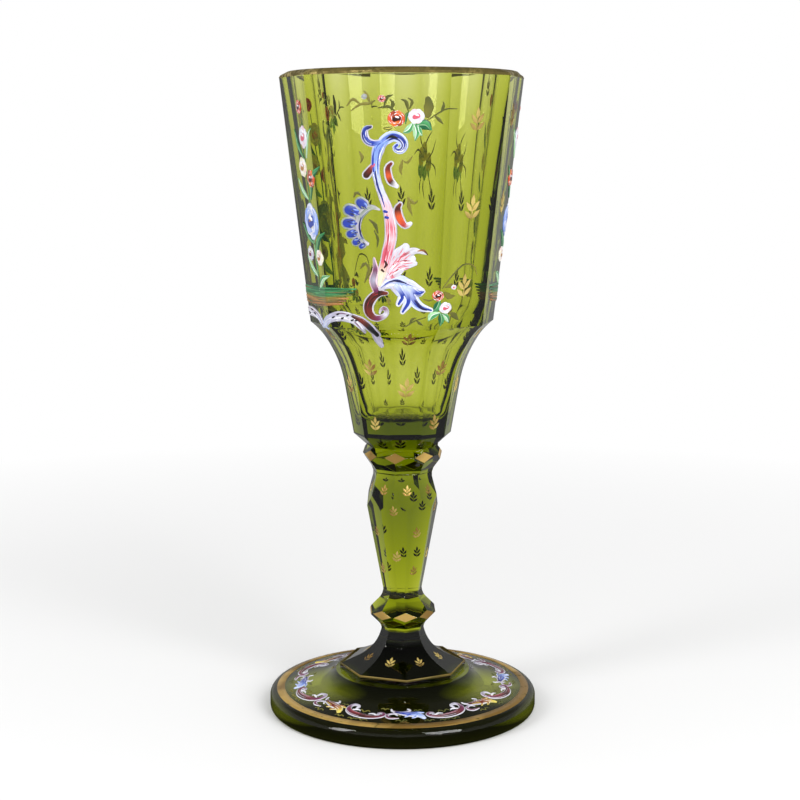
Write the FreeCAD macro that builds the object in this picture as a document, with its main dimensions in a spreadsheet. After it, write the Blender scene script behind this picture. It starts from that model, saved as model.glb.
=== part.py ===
# Footed goblet of green glass, cut in facets, gilded and painted in raised enamel.
# Six hot-joined glass pieces stand on one axis: foot, pedestal, lower knop, stem,
# upper knop and bowl. Gilding and enamel are thin layers that lie on the glass.
import FreeCAD, Part
import math
import os
import re
import Sketcher

# Driving dimensions in millimetres. Radii of cut pieces are taken over the corners.
sizes = {
    # foot: a round disc with a raised seat in the middle
    "foot_radius": 44.75,
    "foot_height": 12.5,
    "foot_rest_inset": 1.25,
    "foot_rim_low": 1.2,
    "foot_rim_high": 4.3,
    "foot_shoulder_inset": 2.15,
    "foot_shoulder_height": 6.35,
    "foot_dish_run": 5.7,
    "foot_dish_height": 8.75,
    "foot_seat_margin": 1.4,
    # pedestal: eight flutes that flare out to a stepped edge
    "pedestal_height": 14.0,
    "pedestal_neck_radius": 7.1,
    "pedestal_flare_run": 6.6,
    "pedestal_flare_drop": 3.0,
    "pedestal_edge_height": 1.8,
    "pedestal_edge_radius": 21.1,
    # lower knop
    "lower_knop_height": 13.5,
    "lower_collar_rise": 2.0,
    "lower_collar_flare": 0.9,
    "lower_girdle_height": 6.25,
    "lower_flat_reach": 10.6,
    "lower_girdle_overhang": 1.65,
    "lower_cap_drop": 3.4,
    "lower_cap_flare": 1.9,
    # stem: a long taper whose top is cut back by eight shoulder flutes
    "stem_height": 40.4,
    "stem_foot_radius": 6.5,
    "stem_taper_flare": 7.55,
    "stem_neck_radius": 10.1,
    "stem_neck_rise": 1.5,
    "stem_shoulder_flare": 10.6,
    # upper knop
    "upper_knop_height": 8.8,
    "upper_heel_rise": 1.4,
    "upper_heel_flare": 0.4,
    "upper_girdle_height": 6.3,
    "upper_flat_reach": 12.5,
    "upper_girdle_overhang": 1.6,
    # bowl: bevel, taper, flute and ledge under a long straight wall
    "bowl_base_radius": 11.9,
    "bevel_rise": 4.0,
    "bevel_flare": 4.2,
    "taper_rise": 16.6,
    "taper_flare": 2.9,
    "flute_rise": 15.2,
    "flute_flare": 6.0,
    "ledge_rise": 5.3,
    "ledge_flare": 5.0,
    "wall_rise": 79.7,
    "wall_flare": 9.45,
    "rim_round": 0.8,
    # hollow of the bowl, measured in from the middle of a facet: a plain cone inside the ledge
    "rim_wall": 1.95,
    "flute_wall": 4.0,
    "waist_wall": 4.3,
    "heel_wall": 5.3,
    "heel_rise": 4.3,
    "floor_thickness": 9.3,
    "floor_inset": 4.0,
    # gilding
    "gold_film": 0.12,
    "lip_band": 1.3,
    "edge_line": 0.9,
    "edge_film": 0.25,
    "foot_band_width": 2.3,
    "foot_band_inset": 2.5,
    # raised enamel on the bowl
    "enamel_relief": 0.35,
    "scroll_width": 42.0,
    "scroll_left": 18.0,
    "scroll_ledge_gap": 1.7,
    "scroll_rim_gap": 6.0,
    "scroll_stroke": 4.0,
    "bouquet_width": 19.0,
    "bouquet_ledge_gap": 8.0,
    "bouquet_rim_gap": 7.7,
    "bloom_radius": 5.4,
    "bouquet_leaf": 9.0,
    "ground_depth": 3.4,
    # scroll border on the foot, in shares of the ring between its dish and its gold band
    "border_inner_share": 0.11,
    "border_outer_share": 0.21,
    "border_stroke_share": 0.18,
    # cut facets come in opposite pairs, turned in degrees from the front
    "bowl_facet_pairs": 5,
    "stem_facet_pairs": 4,
    "bowl_turn": 4.0,
    "upper_knop_turn": 11.5,
    "stem_turn": 30.5,
    "lower_knop_turn": 27.5,
    "pedestal_turn": 26.0,
    "bouquet_turn": 61.0,
    "second_bouquet_turn": 97.0,
    "spray_turn": 157.0,
    "border_repeats": 8,
    "border_turn": 12.0,
    # how far cutting blocks run past the glass
    "cut_overrun": 5.0,
    # bow of each curved stretch, as a share of its chord
    "foot_dish_bow_share": 0.1,
    "foot_shoulder_bow_share": 0.18,
    "foot_base_bow_share": 0.2,
    "pedestal_bow_share": 0.119,
    "collar_bow_share": 0.08,
    "cap_bow_share": 0.1,
    "ledge_bow_share": 0.042,
    "flute_bow_share": 0.052,
    "rim_bow_share": 0.2,
    "heel_bow_share": 0.16,
}

doc = FreeCAD.newDocument("goblet")
sheet = doc.addObject("Spreadsheet::Sheet", "Sizes")
for row, (alias, value) in enumerate(sizes.items(), start=1):
    sheet.set(f"A{row}", alias.replace("_", " "))
    sheet.set(f"B{row}", str(value))
    sheet.setAlias(f"B{row}", alias)
doc.recompute()

aliasWord = re.compile(r"\b[a-z]+(?:_[a-z]+)+\b")


def bound(formula):
    # the same formula, as another object of the document reads it
    return aliasWord.sub(lambda word: "Sizes." + word.group(0), formula)


def number(formula):
    return float(sheet.evalExpression(formula))


# Levels of the pieces, and the outline of the bowl, added up from its foot
pedestalLevel = "foot_height"
lowerKnopLevel = pedestalLevel + " + pedestal_height"
stemLevel = lowerKnopLevel + " + lower_knop_height"
upperKnopLevel = stemLevel + " + stem_height"
bowlLevel = upperKnopLevel + " + upper_knop_height"

bevelHeight = "bevel_rise"
waistHeight = bevelHeight + " + taper_rise"
fluteHeight = waistHeight + " + flute_rise"
ledgeHeight = fluteHeight + " + ledge_rise"
bowlHeight = ledgeHeight + " + wall_rise"
bevelRadius = "bowl_base_radius + bevel_flare"
waistRadius = bevelRadius + " + taper_flare"
fluteRadius = waistRadius + " + flute_flare"
ledgeRadius = fluteRadius + " + ledge_flare"
rimRadius = ledgeRadius + " + wall_flare"
seatRadius = "pedestal_edge_radius + foot_seat_margin"
dishRadius = seatRadius + " + foot_dish_run"
shoulderRadius = "foot_radius - foot_shoulder_inset"


def apothem(radius, pairs):
    # distance of a facet from the axis, where its corners stand at this radius
    return f"({radius}) * cos(90deg / {pairs})"


def point(radius, height, bow=None, side=0):
    # one point of an outline, with the bow of the stretch that leads to the next one
    return {"x": radius, "z": height, "bow": bow, "side": side}


def place(spot):
    return FreeCAD.Vector(number(spot["x"]), number(spot["z"]), 0)


def addStretch(sketch, start, end, mirror=1):
    # a line, or an arc that bows out (side 1) or in (side -1), from start to end
    a, b = place(start), place(end)
    spots = [FreeCAD.Vector(spot.x * mirror, spot.y, 0) for spot in (a, b)]
    if not start["bow"]:
        return sketch.addGeometry(Part.LineSegment(*spots), False), 1, 2
    chord = b - a
    sideways = FreeCAD.Vector(-chord.y, chord.x, 0)
    middle = (a + b) * 0.5 + sideways * (start["side"] * number(start["bow"]))
    middle.x = middle.x * mirror
    if start["side"] * mirror < 0:
        return sketch.addGeometry(Part.Arc(spots[0], middle, spots[1]), False), 1, 2
    return sketch.addGeometry(Part.Arc(spots[1], middle, spots[0]), False), 2, 1


def fixPoint(sketch, piece, end, spot):
    # hold one point at its radius and height
    for axis, kind, formula in ((-2, "DistanceX", spot["x"]), (-1, "DistanceY", spot["z"])):
        if formula == "0":
            sketch.addConstraint(Sketcher.Constraint("PointOnObject", piece, end, axis))
        else:
            index = sketch.addConstraint(Sketcher.Constraint(kind, -1, 1, piece, end, number(formula)))
            sketch.setExpression(f"Constraints[{index}]", bound(formula))


def fixBow(sketch, piece, start, end):
    # radius of an arc from its chord and its bow
    if start["bow"]:
        chord = f"sqrt((({start['x']}) - ({end['x']}))^2 + (({start['z']}) - ({end['z']}))^2)"
        formula = f"{chord} * (1 / (8 * {start['bow']}) + {start['bow']} / 2)"
        index = sketch.addConstraint(Sketcher.Constraint("Radius", piece, number(formula)))
        sketch.setExpression(f"Constraints[{index}]", bound(formula))


def newSketch(body, name):
    sketch = body.newObject("Sketcher::SketchObject", name)
    upright = next(item for item in body.Origin.OriginFeatures if item.Role == "XZ_Plane")
    sketch.AttachmentSupport = (upright, [""])
    sketch.MapMode = "FlatFace"
    return sketch


def drawHalf(sketch, outline):
    # the points of an outline in order, each joined to the next
    pieces = [addStretch(sketch, start, end) for start, end in zip(outline, outline[1:])]
    for (piece, first, last), start, end in zip(pieces, outline, outline[1:]):
        fixPoint(sketch, piece, first, start)
        fixBow(sketch, piece, start, end)
    fixPoint(sketch, pieces[-1][0], pieces[-1][2], outline[-1])
    for before, after in zip(pieces, pieces[1:]):
        sketch.addConstraint(Sketcher.Constraint("Coincident", before[0], before[2], after[0], after[1]))
    return pieces


def drawTurned(sketch, outline):
    # a half outline that starts and ends on the axis, closed along it
    pieces = drawHalf(sketch, outline)
    axis = sketch.addGeometry(Part.LineSegment(place(outline[-1]), place(outline[0])), False)
    sketch.addConstraint(Sketcher.Constraint("Coincident", pieces[-1][0], pieces[-1][2], axis, 1))
    sketch.addConstraint(Sketcher.Constraint("Coincident", axis, 2, pieces[0][0], pieces[0][1]))


def drawRing(sketch, outline):
    # an outline clear of the axis that ends at its own first point
    pieces = [addStretch(sketch, start, end) for start, end in zip(outline, outline[1:])]
    for (piece, first, last), start in zip(pieces, outline):
        fixPoint(sketch, piece, first, start)
    for before, after in zip(pieces, pieces[1:] + pieces[:1]):
        sketch.addConstraint(Sketcher.Constraint("Coincident", before[0], before[2], after[0], after[1]))


def drawSymmetric(sketch, outline):
    # a half outline from top to bottom, its mirror image, and the lines that close them
    right = drawHalf(sketch, outline)
    left = [addStretch(sketch, start, end, -1) for start, end in zip(outline, outline[1:])]
    for one, other, start in zip(right, left, outline):
        sketch.addConstraint(Sketcher.Constraint("Symmetric", one[0], one[2], other[0], other[2], -2))
        if start["bow"]:
            sketch.addConstraint(Sketcher.Constraint("Equal", one[0], other[0]))
    top, twin = right[0], left[0]
    sketch.addConstraint(Sketcher.Constraint("Symmetric", top[0], top[1], twin[0], twin[1], -2))
    for before, after in zip(left, left[1:]):
        sketch.addConstraint(Sketcher.Constraint("Coincident", before[0], before[2], after[0], after[1]))
    for one, other, end in ((right[0], left[0], 1), (right[-1], left[-1], 2)):
        spots = [sketch.getPoint(one[0], one[end]), sketch.getPoint(other[0], other[end])]
        closing = sketch.addGeometry(Part.LineSegment(*spots), False)
        sketch.addConstraint(Sketcher.Constraint("Coincident", one[0], one[end], closing, 1))
        sketch.addConstraint(Sketcher.Constraint("Coincident", other[0], other[end], closing, 2))


def turnedBody(name, outline, level="0", closed=False):
    # a round solid from a half outline
    body = doc.addObject("PartDesign::Body", name)
    sketch = newSketch(body, name + "Outline")
    if closed:
        drawRing(sketch, outline)
    else:
        drawTurned(sketch, outline)
    turned = body.newObject("PartDesign::Revolution", name + "Turned")
    turned.Profile = sketch
    turned.ReferenceAxis = (sketch, ["V_Axis"])
    turned.Angle = 360
    body.setExpression("Placement.Base.z", bound(level))
    doc.recompute()
    return body


def facetedSolid(name, outline, level, pairs, turn, stagger="0"):
    # the space that one block shares with its turned copies: two facets for each block
    blocks = []
    for index in range(round(number(pairs))):
        block = doc.addObject("PartDesign::Body", f"{name}Block{index}")
        sketch = newSketch(block, f"{name}Outline{index}")
        drawSymmetric(sketch, outline)
        pad = block.newObject("PartDesign::Pad", f"{name}Pad{index}")
        pad.Profile = sketch
        pad.SideType = "Symmetric"
        pad.setExpression("Length", bound("4 * foot_radius"))
        angle = f"({turn} - 90 + 180 * ({index} + {stagger}) / {pairs}) * 1deg"
        block.Placement = FreeCAD.Placement(FreeCAD.Vector(), FreeCAD.Rotation(FreeCAD.Vector(0, 0, 1), 1))
        block.setExpression("Placement.Rotation.Angle", bound(angle))
        block.setExpression("Placement.Base.z", bound(level))
        blocks.append(block)
    doc.recompute()
    return common(name + "Facets", blocks)


def common(name, shapes):
    result = doc.addObject("Part::MultiCommon", name)
    result.Shapes = shapes
    doc.recompute()
    return result


def cut(name, base, tool):
    result = doc.addObject("Part::Cut", name)
    result.Base = base
    result.Tool = tool
    doc.recompute()
    return result


def flatBlocks(name, reach, height, level, pairs, turn):
    # upright slabs whose flats stand over the corners of a knop
    slabs = []
    for index in range(round(number(pairs))):
        slab = doc.addObject("Part::Box", f"{name}Slab{index}")
        slab.setExpression("Length", bound(f"2 * ({reach})"))
        slab.setExpression("Width", bound("4 * foot_radius"))
        slab.setExpression("Height", bound(height))
        angle = f"({turn} - 90 + 180 * ({index} + 0.5) / {pairs}) * 1deg"
        slab.Placement = FreeCAD.Placement(FreeCAD.Vector(), FreeCAD.Rotation(FreeCAD.Vector(0, 0, 1), 1))
        slab.setExpression("Placement.Rotation.Angle", bound(angle))
        cornerX = f"2 * foot_radius * sin({angle}) - ({reach}) * cos({angle})"
        cornerY = f"-2 * foot_radius * cos({angle}) - ({reach}) * sin({angle})"
        slab.setExpression("Placement.Base.x", bound(cornerX))
        slab.setExpression("Placement.Base.y", bound(cornerY))
        slab.setExpression("Placement.Base.z", bound(level))
        slabs.append(slab)
    doc.recompute()
    return slabs


nodes = []


def keep(label, item):
    item.Label = label
    nodes.append(item)
    return item


def scaled(outline, pairs, grow="0"):
    # corner radii of an outline as facet distances, with a layer of this thickness
    return [dict(spot, x=f"{apothem(spot['x'], pairs)} + {grow}") for spot in outline]


# Foot
footOutline = [
    point("0", "foot_height"),
    point(seatRadius, "foot_height", "foot_dish_bow_share", -1),
    point(dishRadius, "foot_dish_height"),
    point(shoulderRadius, "foot_shoulder_height", "foot_shoulder_bow_share", 1),
    point("foot_radius", "foot_rim_high"),
    point("foot_radius", "foot_rim_low", "foot_base_bow_share", 1),
    point("foot_radius - foot_rest_inset", "0"),
    point("0", "0"),
]
foot = keep("foot", turnedBody("Foot", footOutline))

# Pedestal
pedestalOutline = [
    point("pedestal_neck_radius", "pedestal_height", "pedestal_bow_share", -1),
    point("pedestal_edge_radius - pedestal_flare_run", "pedestal_edge_height + pedestal_flare_drop"),
    point("pedestal_edge_radius", "pedestal_edge_height"),
    point("pedestal_edge_radius", "0"),
]
pedestal = facetedSolid("Pedestal", scaled(pedestalOutline, "stem_facet_pairs"), pedestalLevel,
                        "stem_facet_pairs", "pedestal_turn")
keep("pedestal", pedestal)


# Knops: bevelled octagons whose corners are cut flat in lozenges
def knop(name, outline, reach, height, level, turn):
    bevels = facetedSolid(name, scaled(outline, "stem_facet_pairs"), level, "stem_facet_pairs", turn)
    slabs = flatBlocks(name, reach, height, level, "stem_facet_pairs", turn)
    solid = common(name, [bevels] + slabs)
    gilded = flatBlocks(name + "Gilded", f"{reach} + gold_film", height, level, "stem_facet_pairs", turn)
    layer = cut(name + "Gilding", common(name + "Coated", [bevels] + gilded), solid)
    return solid, layer


lowerOutline = [
    point("stem_foot_radius", "lower_knop_height", "cap_bow_share", -1),
    point("stem_foot_radius + lower_cap_flare", "lower_knop_height - lower_cap_drop"),
    point("lower_flat_reach + lower_girdle_overhang", "lower_girdle_height"),
    point("pedestal_neck_radius + lower_collar_flare", "lower_collar_rise", "collar_bow_share", -1),
    point("pedestal_neck_radius", "0"),
]
lowerKnop, lowerGilding = knop("LowerKnop", lowerOutline, "lower_flat_reach", "lower_knop_height",
                               lowerKnopLevel, "lower_knop_turn")
keep("lower_knop", lowerKnop)
keep("lower_knop_gilding", lowerGilding)

upperOutline = [
    point("bowl_base_radius", "upper_knop_height"),
    point("upper_flat_reach + upper_girdle_overhang", "upper_girdle_height"),
    point("stem_neck_radius + upper_heel_flare", "upper_heel_rise"),
    point("stem_neck_radius", "0"),
]
upperKnop, upperGilding = knop("UpperKnop", upperOutline, "upper_flat_reach", "upper_knop_height",
                               upperKnopLevel, "upper_knop_turn")
keep("upper_knop", upperKnop)
keep("upper_knop_gilding", upperGilding)

# Stem: taper facets and, half a facet further round, the shoulder flutes
taperOutline = [
    point("stem_foot_radius + stem_taper_flare", "stem_height"),
    point("stem_foot_radius", "0"),
]
shoulderOutline = [
    point("stem_neck_radius", "stem_height"),
    point("stem_neck_radius", "stem_height - stem_neck_rise"),
    point("stem_neck_radius + stem_shoulder_flare", "0"),
]
taper = facetedSolid("Taper", scaled(taperOutline, "stem_facet_pairs"), stemLevel,
                     "stem_facet_pairs", "stem_turn")
shoulder = facetedSolid("Shoulder", scaled(shoulderOutline, "stem_facet_pairs"), stemLevel,
                        "stem_facet_pairs", "stem_turn", "0.5")
keep("stem", common("Stem", [taper, shoulder]))


# Bowl
def bowlOutline(rise="0"):
    return [
        point(f"{rimRadius} - rim_round", f"{bowlHeight} + {rise}", "rim_bow_share", 1),
        point(rimRadius, f"{bowlHeight} - rim_round + {rise}"),
        point(ledgeRadius, ledgeHeight, "ledge_bow_share", -1),
        point(fluteRadius, fluteHeight, "flute_bow_share", -1),
        point(waistRadius, waistHeight),
        point(bevelRadius, bevelHeight),
        point("bowl_base_radius", "0"),
    ]


def coatedBowl(name, thickness="0"):
    outline = scaled(bowlOutline(thickness), "bowl_facet_pairs", thickness)
    return facetedSolid(name, outline, bowlLevel, "bowl_facet_pairs", "bowl_turn")


def hollowRadius(radius, wall):
    return f"{apothem(radius, 'bowl_facet_pairs')} - {wall}"


heelRadius = hollowRadius(bevelRadius, "heel_wall")
hollowOutline = [
    point("0", f"{bowlHeight} + cut_overrun"),
    point(hollowRadius(rimRadius, "rim_wall"), f"{bowlHeight} + cut_overrun"),
    point(hollowRadius(rimRadius, "rim_wall"), bowlHeight),
    point(hollowRadius(fluteRadius, "flute_wall"), fluteHeight, "flute_bow_share", -1),
    point(hollowRadius(waistRadius, "waist_wall"), waistHeight),
    point(heelRadius, "floor_thickness + heel_rise", "heel_bow_share", 1),
    point(heelRadius + " - floor_inset", "floor_thickness"),
    point("0", "floor_thickness"),
]
bowlSolid = coatedBowl("Bowl")
hollow = turnedBody("Hollow", hollowOutline, bowlLevel)
keep("bowl", cut("BowlHollowed", bowlSolid, hollow))

# Gilding of the lip: a film over the top and down the outside
lipCoat = cut("LipCoat", cut("LipLayer", coatedBowl("Gilded", "gold_film"), bowlSolid), hollow)
lipBand = doc.addObject("Part::Cylinder", "LipBand")
lipBand.setExpression("Radius", bound("2 * foot_radius"))
lipBand.setExpression("Height", bound("lip_band + cut_overrun"))
lipBand.setExpression("Placement.Base.z", bound(f"{bowlLevel} + {bowlHeight} - lip_band"))
keep("lip_gilding", common("LipGilding", [lipCoat, lipBand]))

# Gold line along the stepped edge of the pedestal
lineCoat = facetedSolid("LineCoat", scaled(pedestalOutline, "stem_facet_pairs", "edge_film"),
                        pedestalLevel, "stem_facet_pairs", "pedestal_turn")
insideOutline = [
    point("pedestal_edge_radius - edge_line", "pedestal_height"),
    point("pedestal_edge_radius - edge_line", "0"),
]
lineInside = facetedSolid("LineInside", scaled(insideOutline, "stem_facet_pairs"),
                          pedestalLevel, "stem_facet_pairs", "pedestal_turn")
lineRing = cut("LineRing", cut("LineLayer", lineCoat, pedestal), lineInside)
lineBand = doc.addObject("Part::Cylinder", "LineBand")
lineBand.setExpression("Radius", bound("2 * foot_radius"))
lineBand.setExpression("Height", bound("pedestal_height"))
lineBand.setExpression("Placement.Base.z", bound(f"{pedestalLevel} + pedestal_edge_height / 2"))
keep("pedestal_gold_line", common("PedestalGoldLine", [lineRing, lineBand]))


# Gold band on the foot: a film on the sloping top
def topHeight(radius):
    fall = f"(foot_dish_height - foot_shoulder_height) / (({shoulderRadius}) - ({dishRadius}))"
    return f"foot_dish_height - (({radius}) - ({dishRadius})) * {fall}"


def filmRing(name, inner, outer, thickness):
    # a thin ring that lies on the sloping top of the foot
    outline = [
        point(inner, f"{topHeight(inner)} + {thickness}"),
        point(outer, f"{topHeight(outer)} + {thickness}"),
        point(outer, topHeight(outer)),
        point(inner, topHeight(inner)),
        point(inner, f"{topHeight(inner)} + {thickness}"),
    ]
    return turnedBody(name, outline, closed=True)


bandOuter = "foot_radius - foot_band_inset"
keep("foot_gold_band", filmRing("FootGoldBand", bandOuter + " - foot_band_width", bandOuter, "gold_film"))


# Painted shapes, drawn flat with their right side towards +Z
def stroke(spots, widths):
    # a brush stroke along a smooth line: its width changes and its ends are round
    line = Part.BSplineCurve()
    line.interpolate(spots)
    stations = 2 * len(spots) - 1
    sides = ([], [])
    for index in range(stations):
        at = line.FirstParameter + (line.LastParameter - line.FirstParameter) * index / (stations - 1)
        along = line.tangent(at)[0]
        before = min(int(index * (len(widths) - 1) / (stations - 1)), len(widths) - 2)
        part = index * (len(widths) - 1) / (stations - 1) - before
        half = (widths[before] * (1 - part) + widths[before + 1] * part) / 2
        across = FreeCAD.Vector(-along.y, along.x, 0) * half
        sides[0].append(line.value(at) + across)
        sides[1].append(line.value(at) - across)
    edges = []
    for side in sides:
        curve = Part.BSplineCurve()
        curve.interpolate(side)
        edges.append(curve.toShape())
    for index, at, sign in ((0, line.FirstParameter, -1), (-1, line.LastParameter, 1)):
        a, b = sides[0][index], sides[1][index]
        tip = line.value(at) + line.tangent(at)[0] * (sign * (a - b).Length / 2)
        edges.append(Part.Arc(a, tip, b).toShape())
    return Part.Face(Part.Wire(Part.__sortEdges__(edges)))


def petal(root, tip, width):
    # a pointed leaf between two arcs
    along = tip - root
    across = FreeCAD.Vector(-along.y, along.x, 0).normalize() * (width / 2)
    middle = (root + tip) * 0.5
    sides = [Part.Arc(root, middle + across, tip).toShape(), Part.Arc(tip, middle - across, root).toShape()]
    return Part.Face(Part.Wire(sides))


def disc(center, radius):
    return Part.Face(Part.Wire(Part.Circle(center, FreeCAD.Vector(0, 0, 1), radius).toShape()))


# A panel is an upright frame in front of the bowl: its direction in degrees from the
# front, its size, where its left lower corner is, and whether it is a mirror image
def panel(direction, width, height, left, low, mirrored=False):
    angle = math.radians(direction)
    side = -1 if mirrored else 1
    right = FreeCAD.Vector(math.cos(angle), math.sin(angle), 0)
    upright = FreeCAD.Vector(0, 0, 1)
    turn = FreeCAD.Rotation(right, upright, right.cross(upright), "ZXY")
    return {"width": width, "height": height, "left": left, "low": low,
            "side": side, "turn": turn, "painted": []}


def onPanel(frame, share):
    return FreeCAD.Vector(frame["side"] * (frame["left"] + share[0] * frame["width"]),
                          frame["low"] + share[1] * frame["height"], 0)


def through(frame, shapes, unit):
    # blocks that reach out from the axis through the shapes of one colour, joined where
    # they meet and cut back from what is painted already: widths are shares of the unit
    blocks = []
    for kind, spots, widthShares in shapes:
        spots = [onPanel(frame, share) for share in spots]
        if kind == "stroke":
            flat = stroke(spots, [unit * share for share in widthShares])
        elif kind == "petal":
            flat = petal(spots[0], spots[1], unit * widthShares[0])
        else:
            flat = disc(spots[0], unit * widthShares[0])
        blocks.append(flat.extrude(FreeCAD.Vector(0, 0, reach)))
    whole = blocks[0].fuse(blocks[1:]).removeSplitter() if len(blocks) > 1 else blocks[0]
    if frame["painted"]:
        whole = whole.cut(frame["painted"])
    frame["painted"] += whole.Solids
    whole.Placement = FreeCAD.Placement(FreeCAD.Vector(), frame["turn"])
    return whole


ledgeLevel = number(f"{bowlLevel} + {ledgeHeight}")
reach = 2 * number("foot_radius")
scrollLow = ledgeLevel + number("scroll_ledge_gap")
scrollHeight = number("wall_rise - scroll_ledge_gap - scroll_rim_gap")
scrollWidth, scrollLeft = number("scroll_width"), -number("scroll_left")
bouquetLow = ledgeLevel + number("bouquet_ledge_gap")
bouquetHeight = number("wall_rise - bouquet_ledge_gap - bouquet_rim_gap")
bouquetWidth, bouquetTurn = number("bouquet_width"), number("bouquet_turn")
scrollPanels = [
    panel(0, scrollWidth, scrollHeight, scrollLeft, scrollLow),
    panel(-2 * bouquetTurn, scrollWidth, scrollHeight, scrollLeft, scrollLow, True),
]
bouquetPanels = [
    panel(-bouquetTurn, bouquetWidth, bouquetHeight, 0, bouquetLow),
    panel(number("second_bouquet_turn"), bouquetWidth, bouquetHeight, 0, bouquetLow, True),
]
sprayPanels = [panel(number("spray_turn"), scrollWidth, scrollHeight, 0, scrollLow)]

# Places are shares of a panel's width and height, widths are shares of the unit stroke
scrollStemShares = [
    ("stroke", [(0.305, 0.777), (0.250, 0.740), (0.236, 0.678), (0.252, 0.610), (0.317, 0.505),
                (0.346, 0.403), (0.321, 0.313), (0.277, 0.221), (0.215, 0.150)],
     [0.5, 0.6, 0.6, 0.6, 0.75, 0.95, 0.95, 0.8, 0.4]),
    ("stroke", [(0.262, 0.757), (0.305, 0.782), (0.363, 0.797), (0.421, 0.785), (0.441, 0.763),
                (0.421, 0.741), (0.387, 0.742)],
     [0.5, 0.6, 0.7, 0.6, 0.5, 0.45, 0.3]),
    ("stroke", [(0.202, 0.837), (0.163, 0.827), (0.159, 0.801), (0.182, 0.778), (0.227, 0.771),
                (0.27, 0.765)],
     [0.35, 0.5, 0.55, 0.5, 0.45, 0.4]),
    ("stroke", [(0.289, 0.132), (0.219, 0.120), (0.180, 0.089), (0.184, 0.051), (0.224, 0.030),
                (0.279, 0.035), (0.302, 0.052)],
     [0.3, 0.6, 0.8, 0.85, 0.7, 0.5, 0.35]),
]
scrollShellShares = [
    ("stroke", [(0.194, 0.518), (0.150, 0.490), (0.118, 0.452), (0.109, 0.402), (0.132, 0.371),
                (0.178, 0.360)],
     [0.35, 0.45, 0.5, 0.55, 0.55, 0.4]),
    ("stroke", [(0.175, 0.506), (0.147, 0.524)], [0.35, 0.75]),
    ("stroke", [(0.130, 0.466), (0.062, 0.484)], [0.35, 0.72]),
    ("stroke", [(0.110, 0.422), (0.048, 0.432)], [0.35, 0.68]),
    ("stroke", [(0.115, 0.388), (0.062, 0.384)], [0.35, 0.60]),
    ("stroke", [(0.140, 0.366), (0.105, 0.348)], [0.35, 0.60]),
]
scrollLeafShares = [
    ("petal", [(0.350, 0.215), (0.461, 0.348)], [1.1]),
    ("petal", [(0.350, 0.215), (0.600, 0.305)], [1.3]),
    ("petal", [(0.350, 0.215), (0.531, 0.260)], [0.9]),
    ("petal", [(0.214, 0.150), (0.214, 0.280)], [0.7]),
    ("stroke", [(0.264, 0.156), (0.340, 0.176), (0.429, 0.169), (0.575, 0.146)], [0.5, 0.85, 0.75, 0.2]),
    ("stroke", [(0.400, 0.165), (0.420, 0.120), (0.397, 0.082)], [0.8, 0.5, 0.2]),
    ("stroke", [(0.442, 0.155), (0.472, 0.098), (0.429, 0.052)], [0.8, 0.5, 0.2]),
    ("stroke", [(0.472, 0.155), (0.509, 0.107), (0.545, 0.074), (0.630, 0.060)], [0.8, 0.5, 0.4, 0.2]),
]
scrollCommaShares = [
    ("stroke", [(0.338, 0.685), (0.330, 0.652), (0.343, 0.618), (0.384, 0.592)], [0.4, 0.45, 0.45, 0.35]),
    ("stroke", [(0.412, 0.510), (0.405, 0.488), (0.420, 0.452), (0.450, 0.428)], [0.4, 0.5, 0.5, 0.4]),
    ("stroke", [(0.200, 0.662), (0.168, 0.637)], [0.35, 0.5]),
]
scrollFlowerShares = [
    ("disc", [(0.384, 0.872)], [0.48]),
    ("disc", [(0.529, 0.883)], [0.52]),
    ("disc", [(0.280, 0.952)], [0.26]),
    ("disc", [(0.690, 0.125)], [0.42]),
    ("disc", [(0.743, 0.069)], [0.42]),
    ("disc", [(0.807, 0.158)], [0.18]),
]
scrollFoliageShares = [
    ("petal", [(0.520, 0.843), (0.615, 0.826)], [0.75]),
    ("petal", [(0.505, 0.845), (0.500, 0.795)], [0.55]),
    ("petal", [(0.495, 0.845), (0.440, 0.815)], [0.55]),
    ("petal", [(0.360, 0.840), (0.295, 0.832)], [0.35]),
    ("petal", [(0.695, 0.093), (0.650, 0.050)], [0.60]),
    ("petal", [(0.690, 0.040), (0.630, 0.022)], [0.55]),
    ("petal", [(0.705, 0.035), (0.735, 0.005)], [0.50]),
    ("petal", [(0.765, 0.035), (0.825, 0.015)], [0.45]),
]
baseScrollShares = [
    ("stroke", [(-0.155, -0.023), (-0.116, 0.010), (-0.027, 0.024), (0.070, 0.010), (0.133, -0.023)],
     [0.5, 0.7, 0.9, 0.8, 0.5]),
    ("stroke", [(0.085, 0.020), (0.159, -0.004), (0.238, -0.038)], [0.3, 0.6, 0.6]),
    ("stroke", [(0.222, -0.042), (0.266, -0.088)], [0.5, 0.7]),
]
sprayFlowerShares = [
    ("disc", [(0.020, 0.700)], [0.35]),
    ("disc", [(-0.045, 0.655)], [0.32]),
]
sprayFoliageShares = [
    ("petal", [(0.045, 0.670), (0.055, 0.610)], [0.55]),
    ("petal", [(0.000, 0.655), (0.015, 0.600)], [0.50]),
]
bouquetBloomShares = [
    ("disc", [(-0.02, 0.945)], [0.38]),
    ("disc", [(0.05, 0.800)], [0.62]),
    ("disc", [(-0.13, 0.655)], [0.55]),
    ("disc", [(0.20, 0.600)], [0.50]),
    ("disc", [(0.00, 0.390)], [1.00]),
    ("disc", [(-0.22, 0.230)], [0.42]),
    ("disc", [(0.20, 0.215)], [0.46]),
]
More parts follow.
